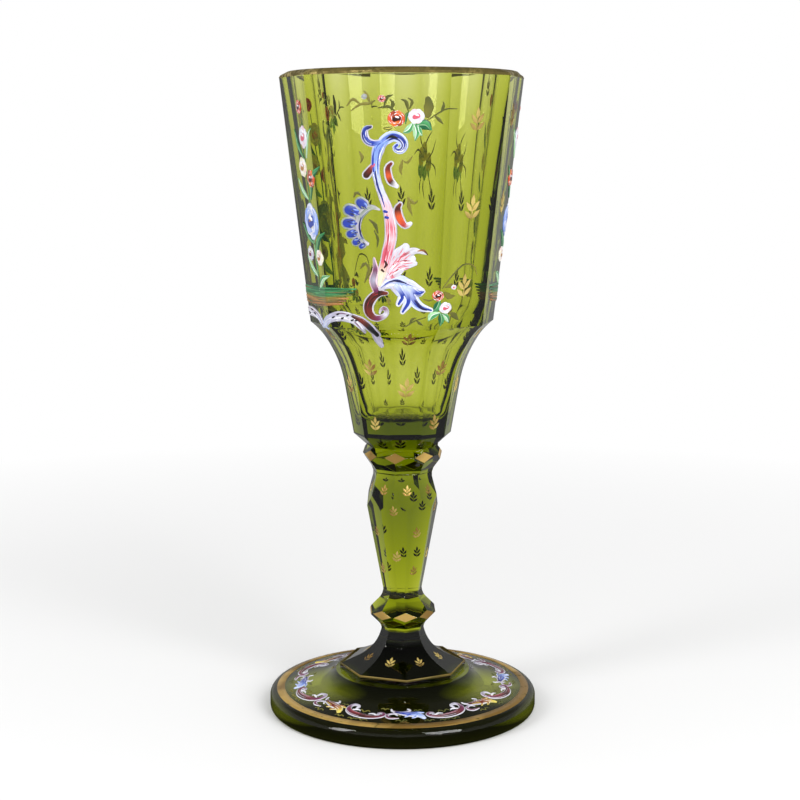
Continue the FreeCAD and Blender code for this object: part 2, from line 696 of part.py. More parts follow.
bouquetFoliageShares = [
    ("stroke", [(0.00, 0.02), (0.03, 0.15), (0.00, 0.28)], [0.12, 0.10, 0.10]),
    ("petal", [(0.02, 0.20), (0.42, 0.34)], [0.34]),
    ("petal", [(0.02, 0.12), (-0.40, 0.22)], [0.26]),
    ("petal", [(0.02, 0.05), (0.42, 0.13)], [0.28]),
    ("petal", [(0.10, 0.50), (0.48, 0.66)], [0.30]),
    ("petal", [(-0.05, 0.50), (-0.44, 0.60)], [0.26]),
    ("petal", [(0.10, 0.70), (0.40, 0.84)], [0.26]),
    ("petal", [(-0.05, 0.70), (-0.36, 0.84)], [0.26]),
]
groundShares = [
    ("stroke", [(-1.05, 0.03), (-0.60, 0.015), (0.00, 0.005), (0.50, 0.010), (0.82, 0.030)],
     [0.6, 1.0, 1.0, 1.0, 0.5]),
]

# The enamel keeps to the layer between the glass and a slightly larger bowl
coat = cut("EnamelLayer", coatedBowl("Enamelled", "enamel_relief"), bowlSolid).Shape
scrollUnit = number("scroll_stroke")
bloomUnit = number("bloom_radius")
leafUnit = number("bouquet_leaf")
groundUnit = number("ground_depth")
groups = {
    "scroll_stem_enamel": [(scrollPanels, scrollStemShares, scrollUnit)],
    "scroll_shell_enamel": [(scrollPanels, scrollShellShares, scrollUnit)],
    "scroll_comma_enamel": [(scrollPanels, scrollCommaShares, scrollUnit)],
    "flower_enamel": [(scrollPanels, scrollFlowerShares, scrollUnit),
                      (sprayPanels, sprayFlowerShares, scrollUnit)],
    "flower_leaf_enamel": [(scrollPanels, scrollFoliageShares, scrollUnit),
                           (sprayPanels, sprayFoliageShares, scrollUnit)],
    "scroll_leaf_enamel": [(scrollPanels, scrollLeafShares, scrollUnit)],
    "base_scroll_enamel": [(scrollPanels, baseScrollShares, scrollUnit)],
    "bouquet_bloom_enamel": [(bouquetPanels, bouquetBloomShares, bloomUnit)],
    "bouquet_leaf_enamel": [(bouquetPanels, bouquetFoliageShares, leafUnit)],
    "ground_enamel": [(bouquetPanels, groundShares, groundUnit)],
}
for label, group in groups.items():
    solids = []
    for frames, shapes, unit in group:
        for frame in frames:
            solids += coat.common(through(frame, shapes, unit)).Solids
    feature = doc.addObject("Part::Feature", label.title().replace("_", ""))
    feature.Shape = Part.makeCompound(solids)
    keep(label, feature)

# Border of scrolls round the foot, each a share of one repeat along and across the ring
borderScrollShares = [(0.09, 0.44), (0.04, 0.11), (0.10, -0.36), (0.24, -0.50), (0.38, -0.38),
                      (0.46, 0.02), (0.41, 0.33)]
borderLeafShares = [(0.56, -0.44), (0.54, -0.06), (0.60, 0.34), (0.73, 0.47), (0.86, 0.27),
                    (0.95, -0.13), (0.91, -0.46)]
borderWidthShares = [0.45, 0.8, 0.9, 0.8, 0.85, 0.75, 0.5]
freeWidth = f"({bandOuter} - foot_band_width - ({dishRadius}))"
borderInner = f"{dishRadius} + {freeWidth} * border_inner_share"
borderOuter = f"{bandOuter} - foot_band_width - {freeWidth} * border_outer_share"
borderStroke = number(f"{freeWidth} * border_stroke_share")
borderMiddle = (number(borderInner) + number(borderOuter)) / 2
borderSwing = number(borderOuter) - number(borderInner) - borderStroke


def onBorder(repeat, share):
    angle = math.radians(number("border_turn") - 90) + 2 * math.pi * (repeat + share[0]) / repeats
    radius = borderMiddle - share[1] * borderSwing
    return FreeCAD.Vector(radius * math.cos(angle), radius * math.sin(angle), 0)


repeats = round(number("border_repeats"))
borderWidths = [borderStroke * share for share in borderWidthShares]
borderCoat = filmRing("BorderCoat", borderInner, borderOuter, "enamel_relief")
for label, shares in (("foot_scroll_enamel", borderScrollShares), ("foot_leaf_enamel", borderLeafShares)):
    solids = []
    for repeat in range(repeats):
        flat = stroke([onBorder(repeat, share) for share in shares], borderWidths)
        block = flat.extrude(FreeCAD.Vector(0, 0, number("foot_height")))
        solids += borderCoat.Shape.common(block).Solids
    feature = doc.addObject("Part::Feature", label.title().replace("_", ""))
    feature.Shape = Part.makeCompound(solids)
    keep(label, feature)

doc.recompute()

os.makedirs("parts", exist_ok=True)
for item in doc.Objects:
    for fault in ("Invalid", "Error"):
        if fault in item.State:
            raise RuntimeError(f"{item.Name} is {fault}")
for item in nodes:
    if item.Shape.isNull() or not item.Shape.isValid():
        raise RuntimeError(f"{item.Label} has no valid shape")
for item in nodes:
    item.Shape.exportStep(f"parts/{item.Label}.step")
    box = item.Shape.BoundBox
    print(f"{item.Label}: {len(item.Shape.Solids)} solids, {item.Shape.Volume:.1f} mm3, "
          f"z {box.ZMin:.2f} to {box.ZMax:.2f}, width {box.XLength:.2f}")
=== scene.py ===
# Footed goblet of cut green glass, gilded and painted in raised enamel.
# Everything is modelled in millimetres and brought to metres when a piece is finished.
import math
import random
import bmesh
import bpy
import numpy as np
from mathutils import Euler, Matrix, Vector


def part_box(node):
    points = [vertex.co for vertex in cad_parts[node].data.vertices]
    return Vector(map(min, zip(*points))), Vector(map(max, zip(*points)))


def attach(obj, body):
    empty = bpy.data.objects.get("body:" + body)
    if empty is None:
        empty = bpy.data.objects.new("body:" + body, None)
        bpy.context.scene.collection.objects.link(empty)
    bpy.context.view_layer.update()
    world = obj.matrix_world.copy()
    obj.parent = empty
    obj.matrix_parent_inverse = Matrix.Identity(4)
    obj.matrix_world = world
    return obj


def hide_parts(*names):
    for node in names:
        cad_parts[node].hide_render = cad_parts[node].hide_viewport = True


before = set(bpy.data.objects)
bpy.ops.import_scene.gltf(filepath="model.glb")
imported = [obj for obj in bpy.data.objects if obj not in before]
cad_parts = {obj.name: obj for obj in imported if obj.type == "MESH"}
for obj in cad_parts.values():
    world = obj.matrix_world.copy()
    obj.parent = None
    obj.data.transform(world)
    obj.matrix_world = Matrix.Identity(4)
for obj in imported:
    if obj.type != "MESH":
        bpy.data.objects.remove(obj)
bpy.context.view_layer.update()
mm = 0.001


def level(node, top=False):
    # height of a piece's foot or top in the frame
    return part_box(node)[1 if top else 0].z / mm


def newMesh(name, points, edges=(), faces=()):
    mesh = bpy.data.meshes.new(name)
    mesh.from_pydata(points, edges, faces)
    return mesh


def place(name, data):
    # a new object in the scene
    item = bpy.data.objects.new(name, data)
    bpy.context.scene.collection.objects.link(item)
    return item


def bandFaces(rows, count, closed=False):
    # the four-sided faces between rings of so many points each
    faces = []
    for row in range(rows if closed else rows - 1):
        after = (row + 1) % rows
        for index in range(count):
            turned = (index + 1) % count
            faces.append((row * count + index, row * count + turned, after * count + turned,
                          after * count + index))
    return faces


def bodyOf(mesh, within=0.0):
    # the mesh as a bmesh, with the points closer than this made one
    body = bmesh.new()
    body.from_mesh(mesh)
    if within:
        bmesh.ops.remove_doubles(body, verts=body.verts, dist=within)
    return body


def facedOut(mesh, within=0.0):
    # the mesh with every face turned outward
    body = bodyOf(mesh, within)
    bmesh.ops.recalc_face_normals(body, faces=body.faces)
    body.to_mesh(mesh)
    body.free()
    return mesh


# Node trees
def feed(tree, node, links):
    # fills inputs from other nodes, from their sockets, or with plain values
    for socket, source in links.items():
        if isinstance(source, bpy.types.Node):
            source = source.outputs[0]
        if isinstance(source, bpy.types.NodeSocket):
            tree.links.new(source, node.inputs[socket])
        else:
            node.inputs[socket].default_value = source
    return node


def addNode(tree, kind, links=None, **settings):
    node = tree.nodes.new(kind)
    for name, value in settings.items():
        setattr(node, name, value)
    return feed(tree, node, links or {})


def maths(tree, operation, *values):
    return addNode(tree, "ShaderNodeMath", dict(enumerate(values)), operation=operation)


def newTree(name, **inputs):
    # an empty geometry tree with named inputs, and its two end nodes
    tree = bpy.data.node_groups.new(name, "GeometryNodeTree")
    for label, kind in {"Geometry": "Geometry", **inputs, "Finish": "Material"}.items():
        tree.interface.new_socket(label, in_out="INPUT", socket_type="NodeSocket" + kind)
    tree.interface.new_socket("Geometry", in_out="OUTPUT", socket_type="NodeSocketGeometry")
    return tree, tree.nodes.new("NodeGroupInput"), tree.nodes.new("NodeGroupOutput")


def endTree(tree, start, end, last):
    # the two steps that every geometry tree ends with
    joined = addNode(tree, "GeometryNodeRealizeInstances", {"Geometry": last})
    made = addNode(tree, "GeometryNodeSetMaterial", {"Geometry": joined, "Material": start.outputs["Finish"]})
    feed(tree, end, {0: made})
    return tree


def grow(name, base, tree, **values):
    # runs a tree on a base mesh and keeps the result as a plain mesh
    carrier = place(name + "Base", base)
    modifier = carrier.modifiers.new("grow", "NODES")
    modifier.node_group = tree
    for item in tree.interface.items_tree:
        if item.in_out == "INPUT" and item.name in values:
            modifier[item.identifier] = values[item.name]
    graph = bpy.context.evaluated_depsgraph_get()
    mesh = bpy.data.meshes.new_from_object(carrier.evaluated_get(graph))
    carrier.modifiers.remove(modifier)
    bpy.data.objects.remove(carrier)
    mesh.name = name
    return mesh


def facetTree():
    # an outline swept round the axis in so many flat facets
    tree, start, end = newTree("sweepInFacets", Facets="Int", Turn="Float")
    outline = addNode(tree, "GeometryNodeMeshToCurve", {"Mesh": start.outputs["Geometry"]})
    moved = addNode(tree, "GeometryNodeTransform",
                    {"Geometry": outline, "Translation": (-1, 0, 0), "Scale": (1, -1, 1)})
    path = addNode(tree, "GeometryNodeCurvePrimitiveCircle",
                   {"Resolution": start.outputs["Facets"], "Radius": 1})
    spin = addNode(tree, "ShaderNodeCombineXYZ", {"Z": start.outputs["Turn"]})
    turned = addNode(tree, "GeometryNodeTransform", {"Geometry": path, "Rotation": spin})
    shell = addNode(tree, "GeometryNodeCurveToMesh", {"Curve": turned, "Profile Curve": moved})
    return endTree(tree, start, end, shell)


def repeatTree():
    # copies of a unit turned round the axis
    tree, start, end = newTree("repeatAround", Copies="Int", Step="Float")
    line = addNode(tree, "GeometryNodeMeshLine", {"Count": start.outputs["Copies"], "Offset": (0, 0, 0)})
    angle = maths(tree, "MULTIPLY", addNode(tree, "GeometryNodeInputIndex"), start.outputs["Step"])
    spin = addNode(tree, "ShaderNodeCombineXYZ", {"Z": angle})
    unit = start.outputs["Geometry"]
    copies = addNode(tree, "GeometryNodeInstanceOnPoints",
                     {"Points": line, "Instance": unit, "Rotation": spin})
    return endTree(tree, start, end, copies)


def scatterTree():
    # one small shape on every point, turned as the point says and a little uneven in size
    tree, start, end = newTree("scatterSprigs", Sprig="Object", Uneven="Float")
    sprig = addNode(tree, "GeometryNodeObjectInfo", {"Object": start.outputs["Sprig"]})
    turned = addNode(tree, "GeometryNodeInputNamedAttribute", {"Name": "facing"}, data_type="FLOAT_VECTOR")
    size = addNode(tree, "GeometryNodeInputNamedAttribute", {"Name": "size"}, data_type="FLOAT")
    chance = addNode(tree, "FunctionNodeRandomValue", {"Seed": sprigs["seed"]}, data_type="FLOAT")
    bounds = {item.name: item for item in chance.inputs if item.type == "VALUE"}
    for label, operation in (("Min", "SUBTRACT"), ("Max", "ADD")):
        bound = maths(tree, operation, 1.0, start.outputs["Uneven"])
        tree.links.new(bound.outputs[0], bounds[label])
    drawn = next(item for item in chance.outputs if item.type == "VALUE")
    grown = addNode(tree, "GeometryNodeInstanceOnPoints", {
        "Points": start.outputs["Geometry"], "Instance": sprig.outputs["Geometry"], "Rotation": turned,
        "Scale": maths(tree, "MULTIPLY", drawn, size)})
    return endTree(tree, start, end, grown)


# Glass: the outlines of the cut pieces, radius over the corners and height from the piece's foot
glass = {
    "foot": [(43.5, 0), (44.75, 1.2, 0.2), (44.75, 4.3), (42.6, 6.35, 0.18), (28.2, 8.75),
             (22.5, 12.5, -0.1)],
    "pedestal": [(21.1, 0), (21.1, 1.8), (14.5, 4.8), (7.1, 14.0, -0.119)],
    "lowerKnop": [(7.1, 0), (8.0, 2.0, -0.08), (12.25, 6.25), (8.4, 10.1), (6.5, 13.5, -0.1)],
    "stem": [(6.5, 0), (13.77, 38.9)],
    "shoulder": [(20.7, 0), (10.1, 38.9)],
    "neck": [(10.1, 0), (10.1, 1.5)],
    "upperKnop": [(10.1, 0), (10.5, 1.4), (14.1, 6.3), (11.9, 8.8)],
    "bowl": [(11.9, 0), (16.1, 4.0), (19.0, 20.6), (25.0, 35.8, -0.052), (30.0, 41.1, -0.042),
             (39.31, 118.8)],
    "hollow": [(0, 9.3), (7.6, 9.3), (11.9, 13.3, 0.2), (14.2, 21.5, 0.02), (16.1, 29.0, -0.02),
               (19.4, 36.0, -0.03),
               (22.6, 42.5, -0.02), (25.0, 50.0, 0.04), (35.28, 119.2, -0.012)],
    "lip": [(1.0, 39.33, 119.05), (0.75, 38.9, 119.8), (0.3, 37.75, 120.4), (0.0, 36.95, 120.75),
            (0.0, 36.6, 120.8),
            (0.0, 36.1, 120.8), (0.0, 35.65, 120.55), (0.0, 35.4, 120.0), (0.0, 35.33, 119.45)],
    "facets": {"bowl": 10, "other": 8, "round": 128},
    "turns": {"bowl": 4.0, "upperKnop": 11.5, "stem": 30.5, "neck": 53.0, "lowerKnop": 27.5,
              "pedestal": 26.0},
    "cornerFlats": {"upperKnop": 12.6, "lowerKnop": 10.6},
    "seam": 0.0005,
    "jointSeam": 0.002,
    "weldGap": 0.25,
    "edgeRound": 0.22,
    "arcSteps": 9,
    "lipSteps": 160,
    "roundAbove": 0.2,
}


def outlinePoints(stops):
    # the stops of an outline, with points along the stretches that bow by a share of their chord
    points = [Vector(stops[0][:2])]
    for stop in stops[1:]:
        a, b = points[-1], Vector(stop[:2])
        if len(stop) == 3:
            chord = b - a
            sideways = Vector((chord.y, -chord.x)) * stop[2]
            for step in range(1, glass["arcSteps"]):
                t = step / glass["arcSteps"]
                points.append(a + chord * t + sideways * 4 * t * (1 - t))
        points.append(b)
    return points


def outlineMesh(name, points, base, closed=False):
    edges = [(i, i + 1) for i in range(len(points) - 1)]
    if closed:
        edges.append((len(points) - 1, 0))
    return newMesh(name, [(p[0], p[1] + base, 0) for p in points], edges)


def shell(name, base=0.0, gap=0.0, facets="other"):
    # an open shell of a glass piece as a bmesh; its first ring is raised by the weld gap
    points = outlinePoints(glass[name])
    points[0] = points[0] + Vector((0, gap))
    outline = outlineMesh(name, points, base)
    turn = math.radians(glass["turns"].get(name, 0) - 90 + 180 / glass["facets"][facets])
    mesh = grow(name, outline, sweepInFacets, Facets=glass["facets"][facets], Turn=turn)
    return bodyOf(mesh, glass["seam"])


def cornerCut(body, angle, reach, base=0.0, slope=0.0):
    # cuts the body flat with a plane that stands at this distance, and closes the cut
    along = math.radians(angle - 90)
    normal = Vector((math.cos(along), math.sin(along), slope))
    spot = Vector((math.cos(along) * reach, math.sin(along) * reach, base))
    whole = body.verts[:] + body.edges[:] + body.faces[:]
    cut = bmesh.ops.bisect_plane(body, geom=whole, plane_co=spot, plane_no=normal, clear_outer=True,
                                 dist=0.0001)
    rim = [item for item in cut["geom_cut"] if isinstance(item, bmesh.types.BMEdge) and item.is_boundary]
    if rim:
        bmesh.ops.contextual_create(body, geom=rim)


def openLoops(body):
    # the boundary rings of a shell, lowest first, each in order of angle
    rims = [edge for edge in body.edges if edge.is_boundary]
    loops = []
    while rims:
        found, queue = {rims[0].verts[0]}, [rims[0].verts[0]]
        while queue:
            for edge in queue.pop().link_edges:
                if edge.is_boundary:
                    fresh = set(edge.verts) - found
                    found |= fresh
                    queue += fresh
        loops.append(sorted(found, key=lambda v: math.atan2(v.co.y, v.co.x)))
        rims = [edge for edge in rims if edge.verts[0] not in found]
    return sorted(loops, key=lambda loop: sum(v.co.z for v in loop) / len(loop))


def weld(body, low, high):
    # closes the gap between two rings with triangles, stepping round both by angle
    turnOf = lambda v: math.atan2(v.co.y, v.co.x)
    start = min(range(len(high)),
                key=lambda i: abs((turnOf(high[i]) - turnOf(low[0]) + math.pi) % math.tau - math.pi))
    high = high[start:] + high[:start]
    angles = []
    for ring in (low, high):
        turned = [turnOf(ring[0])]
        for v in ring[1:] + ring[:1]:
            turned.append(turned[-1] + (turnOf(v) - turned[-1]) % math.tau)
        angles.append(turned)
    angles[1] = [a + round((angles[0][0] - angles[1][0]) / math.tau) * math.tau for a in angles[1]]
    i = j = 0
    while i < len(low) or j < len(high):
        a, b = low[i % len(low)], high[j % len(high)]
        if j >= len(high) or (i < len(low) and angles[0][i + 1] <= angles[1][j + 1]):
            body.faces.new((a, low[(i + 1) % len(low)], b))
            i += 1
        else:
            body.faces.new((a, high[(j + 1) % len(high)], b))
            j += 1


def stemBody(base):
    # the taper, cut back by eight slanted shoulder flutes
    body = shell("stem", base=base, gap=glass["weldGap"])
    for ring in openLoops(body):
        body.faces.new(ring)
    bmesh.ops.recalc_face_normals(body, faces=body.faces)
    neck, rise = glass["neck"][0][0], glass["stem"][1][1]
    apothem = math.cos(math.pi / glass["facets"]["other"])
    slope = (glass["shoulder"][0][0] - glass["shoulder"][1][0]) * apothem / rise
    for index in range(glass["facets"]["other"]):
        angle = glass["turns"]["neck"] + 45 * index
        cornerCut(body, angle, neck * apothem, base + rise, slope)
    flats = [face for face in body.faces if abs(face.normal.z) > 0.99]
    bmesh.ops.delete(body, geom=flats, context="FACES_ONLY")
    return body


def knopBody(name, base):
    body = shell(name, base=base, gap=glass["weldGap"])
    for index in range(glass["facets"]["other"]):
        cornerCut(body, glass["turns"][name] + 22.5 + 45 * index, glass["cornerFlats"][name])
    return body


def lipRings(rings, turn, grow=0.0):
    # rings between the facets of the bowl (share 1) and a circle (share 0), as points round the axis
    steps, sides = glass["lipSteps"], glass["facets"]["bowl"]
    angles = np.radians(turn - 90 + 180 / sides) + np.arange(steps) * math.tau / steps
    facing = (np.arange(steps) * 360 / steps) % (360 / sides) - 180 / sides
    facet = math.cos(math.pi / sides) / np.cos(np.radians(facing))
    made = []
    for share, radius, height in rings:
        reach = radius * (share * facet + 1 - share) + grow
        made.append(np.stack([reach * np.cos(angles), reach * np.sin(angles), np.full(steps, height)], 1))
    return made


def lipBody(base):
    # the ground lip, from the ten facets outside to the round hollow
    rings = lipRings(glass["lip"], glass["turns"]["bowl"])
    body = bmesh.new()
    rows = [[body.verts.new((x, y, z + base)) for x, y, z in ring] for ring in rings]
    for low, high in zip(rows, rows[1:]):
        for index in range(len(low)):
            after = (index + 1) % len(low)
            body.faces.new((low[index], low[after], high[after], high[index]))
    return body


def makeGlass():
    # all six hot-joined pieces as one closed body with slightly rounded edges
    gap = glass["weldGap"]
    stemBase, knopBase = level("stem"), level("upper_knop")
    sections = [
        shell("foot", facets="round"),
        shell("pedestal", base=level("pedestal"), gap=gap),
        knopBody("lowerKnop", level("lower_knop")),
        stemBody(stemBase),
        shell("neck", base=knopBase - glass["neck"][1][1]),
        knopBody("upperKnop", knopBase),
        shell("bowl", base=level("bowl"), gap=gap, facets="bowl"),
        shell("hollow", base=level("bowl"), facets="round"),
        lipBody(level("bowl")),
    ]
    body = bmesh.new()
    for section in sections:
        scratch = bpy.data.meshes.new("section")
        section.to_mesh(scratch)
        body.from_mesh(scratch)
        section.free()
        bpy.data.meshes.remove(scratch)
    bmesh.ops.remove_doubles(body, verts=body.verts, dist=glass["jointSeam"])
    loops = openLoops(body)
    body.faces.new(loops[0])
    for low, high in zip(loops[1::2], loops[2::2]):
        weld(body, low, high)
    bmesh.ops.recalc_face_normals(body, faces=body.faces)
    print("glass:", len(body.faces), "faces,", sum(not edge.is_manifold for edge in body.edges), "open edges")
    return finishGlass(body)


def finishGlass(body):
    # rounds the cut edges, and keeps the flat facets flat in the shading
    weight = body.edges.layers.float.new("bevel_weight_edge")
    for edge in body.edges:
        straight = all(len(face.verts) != 3 for face in edge.link_faces)
        if straight and edge.calc_face_angle(0) > glass["roundAbove"]:
            edge[weight] = 1
        edge.smooth = straight
    mesh = bpy.data.meshes.new("gobletGlass")
    body.to_mesh(mesh)
    body.free()
    for face in mesh.polygons:
        face.use_smooth = True
    piece = place("goblet_glass", mesh)
    rounded = piece.modifiers.new("round", "BEVEL")
    rounded.limit_method = "WEIGHT"
    rounded.width = glass["edgeRound"]
    rounded.segments = 2
    rounded.harden_normals = True
    graph = bpy.context.evaluated_depsgraph_get()
    piece.data = bpy.data.meshes.new_from_object(piece.evaluated_get(graph))
    piece.modifiers.clear()
    piece.data.transform(Matrix.Scale(mm, 4))
    return piece


# Enamel: closed, bulging brush strokes laid on the glass, each in panels seen square on
def wallOf(name, node, turn, facets=8):
    # the facets of a cut piece, as heights in the frame and distances from the axis
    spots = outlinePoints(glass[name])
    return {
        "heights": np.array([spot.y for spot in spots]) + level(node),
        "reaches": np.array([spot.x for spot in spots]) * math.cos(math.pi / facets),
        "facets": facets,
        "turn": turn,
    }


def facing(wall, direction, u, z):
    # how far out the facets are beside the line of sight, and which way the nearest one faces
    reach = np.interp(z, wall["heights"], wall["reaches"])
    depth, turned = np.full(u.shape, np.inf), np.zeros(u.shape)
    for index in range(wall["facets"]):
        off = math.radians(wall["turn"] + 360 / wall["facets"] * index - direction)
        if math.cos(off) > 0.1:
            here = (reach - u * math.sin(off)) / math.cos(off)
            turned = np.where(here < depth, off, turned)
            depth = np.minimum(depth, here)
    above, below = (np.interp(z + step, wall["heights"], wall["reaches"]) for step in (0.3, -0.3))
    slope = (above - below) / 0.6
    return depth, turned + math.radians(direction), slope


def onWall(wall, direction, u, z, lift):
    # points on the facets, raised by the lift square to each facet
    depth, turned, slope = facing(wall, direction, u, z)
    front = math.radians(direction)
    normal = np.stack([np.sin(turned), -np.cos(turned), -slope], -1)
    normal /= np.linalg.norm(normal, axis=-1)[..., None]
    spot = np.stack([u * math.cos(front) + depth * math.sin(front),
                     u * math.sin(front) - depth * math.cos(front), z], -1)
    return spot + normal * np.asarray(lift)[..., None]


def wallPanel(wall, direction, size, left, low, side=1):
    # a painted panel that turns its own points into points on the bowl; a side of -1 mirrors it
    return {"spotAt": lambda x, y, lift: onWall(wall, direction, side * (left + x), low + y, lift),
            "size": size}


def newPaint():
    # the strokes of one piece so far; with its panel it makes the sheet that a stroke is laid on
    return {"points": [], "faces": [], "colours": [], "grain": [], "under": [], "count": 0,
            "random": np.random.default_rng(7)}


def linear(colour):
    colour = np.asarray(colour, float) / 255
    return np.where(colour <= 0.04045, colour / 12.92, ((colour + 0.055) / 1.055) ** 2.4)


def smoothPath(spots, steps=10):
    # a smooth line through the spots
    spots = np.asarray(spots, float)
    if len(spots) == 2:
        return spots[0] + (spots[1] - spots[0]) * np.linspace(0, 1, steps)[:, None]
    padded = np.vstack([2 * spots[0] - spots[1], spots, 2 * spots[-1] - spots[-2]])
    line = []
    for a, b, c, d in zip(padded, padded[1:], padded[2:], padded[3:]):
        for t in np.linspace(0, 1, steps, endpoint=False):
            line.append(0.5 * (2 * b + (c - a) * t + (2 * a - 5 * b + 4 * c - d) * t * t
                               + (3 * b - a - 3 * c + d) * t ** 3))
    return np.array(line + [spots[-1]])


brushes = {
    "across": [-1, -0.93, -0.72, -0.38, 0, 0.38, 0.72, 0.93, 1],
    "spacing": 0.5,
    "stations": (5, 60),
    "capAngles": [6, 28, 50, 70],
    "thinnest": 0.004,
    "sunk": -0.03,
    "fullWidth": 0.9,
    "tint": 0.05,
    "grainStep": 3.7,
    "streakSpread": 0.75,
    "streakCrown": 0.12,
    # rows of petals: how many, how far out, how long, how wide and how high
    "petals": [(6, 0.76, 1.25, 0.5, 0.16), (5, 0.5, 1.5, 0.36, 0.26)],
    "petalEdge": 1.14,
}


def brush(sheet, spots, widths, colours, lift=0.0, crown=0.2, shares=True):
    # one stroke along the spots; widths and colours are spread evenly along it
    paint, panel = sheet
    if shares:
        spots = np.asarray(spots, float) * panel["size"]
    path = smoothPath(spots)
    lengths = np.concatenate([[0], np.cumsum(np.linalg.norm(np.diff(path, axis=0), axis=1))])
    total = lengths[-1]
    widths = np.asarray(widths, float)
    startRadius, endRadius = widths[0] / 2, widths[-1] / 2
    count = int(np.clip(total / brushes["spacing"], *brushes["stations"]))
    quarter = np.cos(np.radians(brushes["capAngles"]))
    stations = np.concatenate([-startRadius * quarter, np.linspace(0, total, count),
                               total + endRadius * quarter[::-1]])
    inside = np.clip(stations, 0, total)
    tangent = np.stack([np.gradient(path[:, 0]), np.gradient(path[:, 1])], 1)
    tangent /= np.linalg.norm(tangent, axis=1)[:, None] + 1e-9
    spot = np.stack([np.interp(inside, lengths, path[:, axis]) for axis in (0, 1)], 1)
    along = np.stack([np.interp(inside, lengths, tangent[:, axis]) for axis in (0, 1)], 1)
    along /= np.linalg.norm(along, axis=1)[:, None] + 1e-9
    spot += along * (stations - inside)[:, None]
    width = np.interp(inside, np.linspace(0, total, len(widths)), widths)
    for past, radius in ((-stations, startRadius), (stations - total, endRadius)):
        beyond = np.clip(past, 0, None) / max(radius, 1e-6)
        width = width * np.sqrt(np.clip(1 - beyond ** 2, brushes["thinnest"], 1))
    across = np.array(brushes["across"])
    beside = np.stack([-along[:, 1], along[:, 0]], 1)
    flat = spot[:, None] + beside[:, None] * (across * width[:, None] / 2)[..., None]
    height = lift + crown * np.clip(width / brushes["fullWidth"], 0.3, 1)[:, None] * np.sqrt(1 - across ** 2)
    height[:, [0, -1]] = brushes["sunk"]
    points = panel["spotAt"](flat[..., 0], flat[..., 1], height)
    rows, columns = height.shape
    start = paint["count"]
    index = start + np.arange(rows * columns).reshape(rows, columns)
    for a, b in zip(index, index[1:]):
        for i in range(columns):
            j = (i + 1) % columns
            paint["faces"].append((a[i], a[j], b[j], b[i]))
            paint["under"].append(float(j == 0))
    paint["faces"].append(tuple(index[0][::-1]))
    paint["faces"].append(tuple(index[-1]))
    paint["under"] += [0.0, 0.0]
    names = colours.split() if isinstance(colours, str) else colours
    shades = linear([tones[name] for name in names])
    at = np.linspace(0, 1, len(shades)) if len(shades) > 1 else np.array([0.0])
    body = np.stack([np.interp(inside / total, at, shades[:, k]) for k in range(3)], -1)[:, None]
    body = body * np.ones((1, columns, 1)) * (1 + paint["random"].normal(0, brushes["tint"],
                                                                         columns)[None, :, None])
    # every stroke has its own stretch of grain
    own = np.full((rows, columns), brushes["grainStep"] * (start % 97))
    grain = np.stack([across[None] * width[:, None] / 2, stations[:, None] * np.ones(columns), own], -1)
    paint["points"].append(points.reshape(-1, 3))
    paint["colours"].append(np.clip(body, 0, 1).reshape(-1, 3))
    paint["grain"].append(grain.reshape(-1, 3))
    paint["count"] += rows * columns


def streaks(sheet, spots, widths, colours, number, lift, thin=0.35):
    # thin strokes of other tones laid along a wider one
    paint, panel = sheet
    colours = colours.split() if isinstance(colours, str) else colours
    spots = smoothPath(np.asarray(spots, float) * panel["size"], 6)
    tangent = np.gradient(spots, axis=0)
    beside = np.stack([-tangent[:, 1], tangent[:, 0]], 1)
    beside /= np.linalg.norm(beside, axis=1)[:, None] + 1e-9
    width = np.interp(np.linspace(0, 1, len(spots)), np.linspace(0, 1, len(widths)), widths)
    for index in range(number):
        first = paint["random"].uniform(0, 0.62)
        last = min(1.0, first + paint["random"].uniform(0.22, 0.4))
        first, last = (int(share * (len(spots) - 1)) for share in (first, last))
        picked = slice(first, max(last, first + 2) + 1)
        side = paint["random"].uniform(-brushes["streakSpread"], brushes["streakSpread"])
        line = spots[picked] + beside[picked] * (width[picked] * side / 2)[:, None]
        colour = [colours[index % len(colours)]]
        brush(sheet, line, [thin * 0.4, thin, thin * 0.3], colour, lift, brushes["streakCrown"], shares=False)


def times(widths, share):
    return [width * share for width in widths]


def outlined(sheet, spots, widths, colours, rim, inner):
    # a wide pale stroke with a narrower coloured one on it
    brush(sheet, spots, widths, rim, 0.0, 0.2)
    brush(sheet, spots, times(widths, inner), colours, 0.12, 0.22)


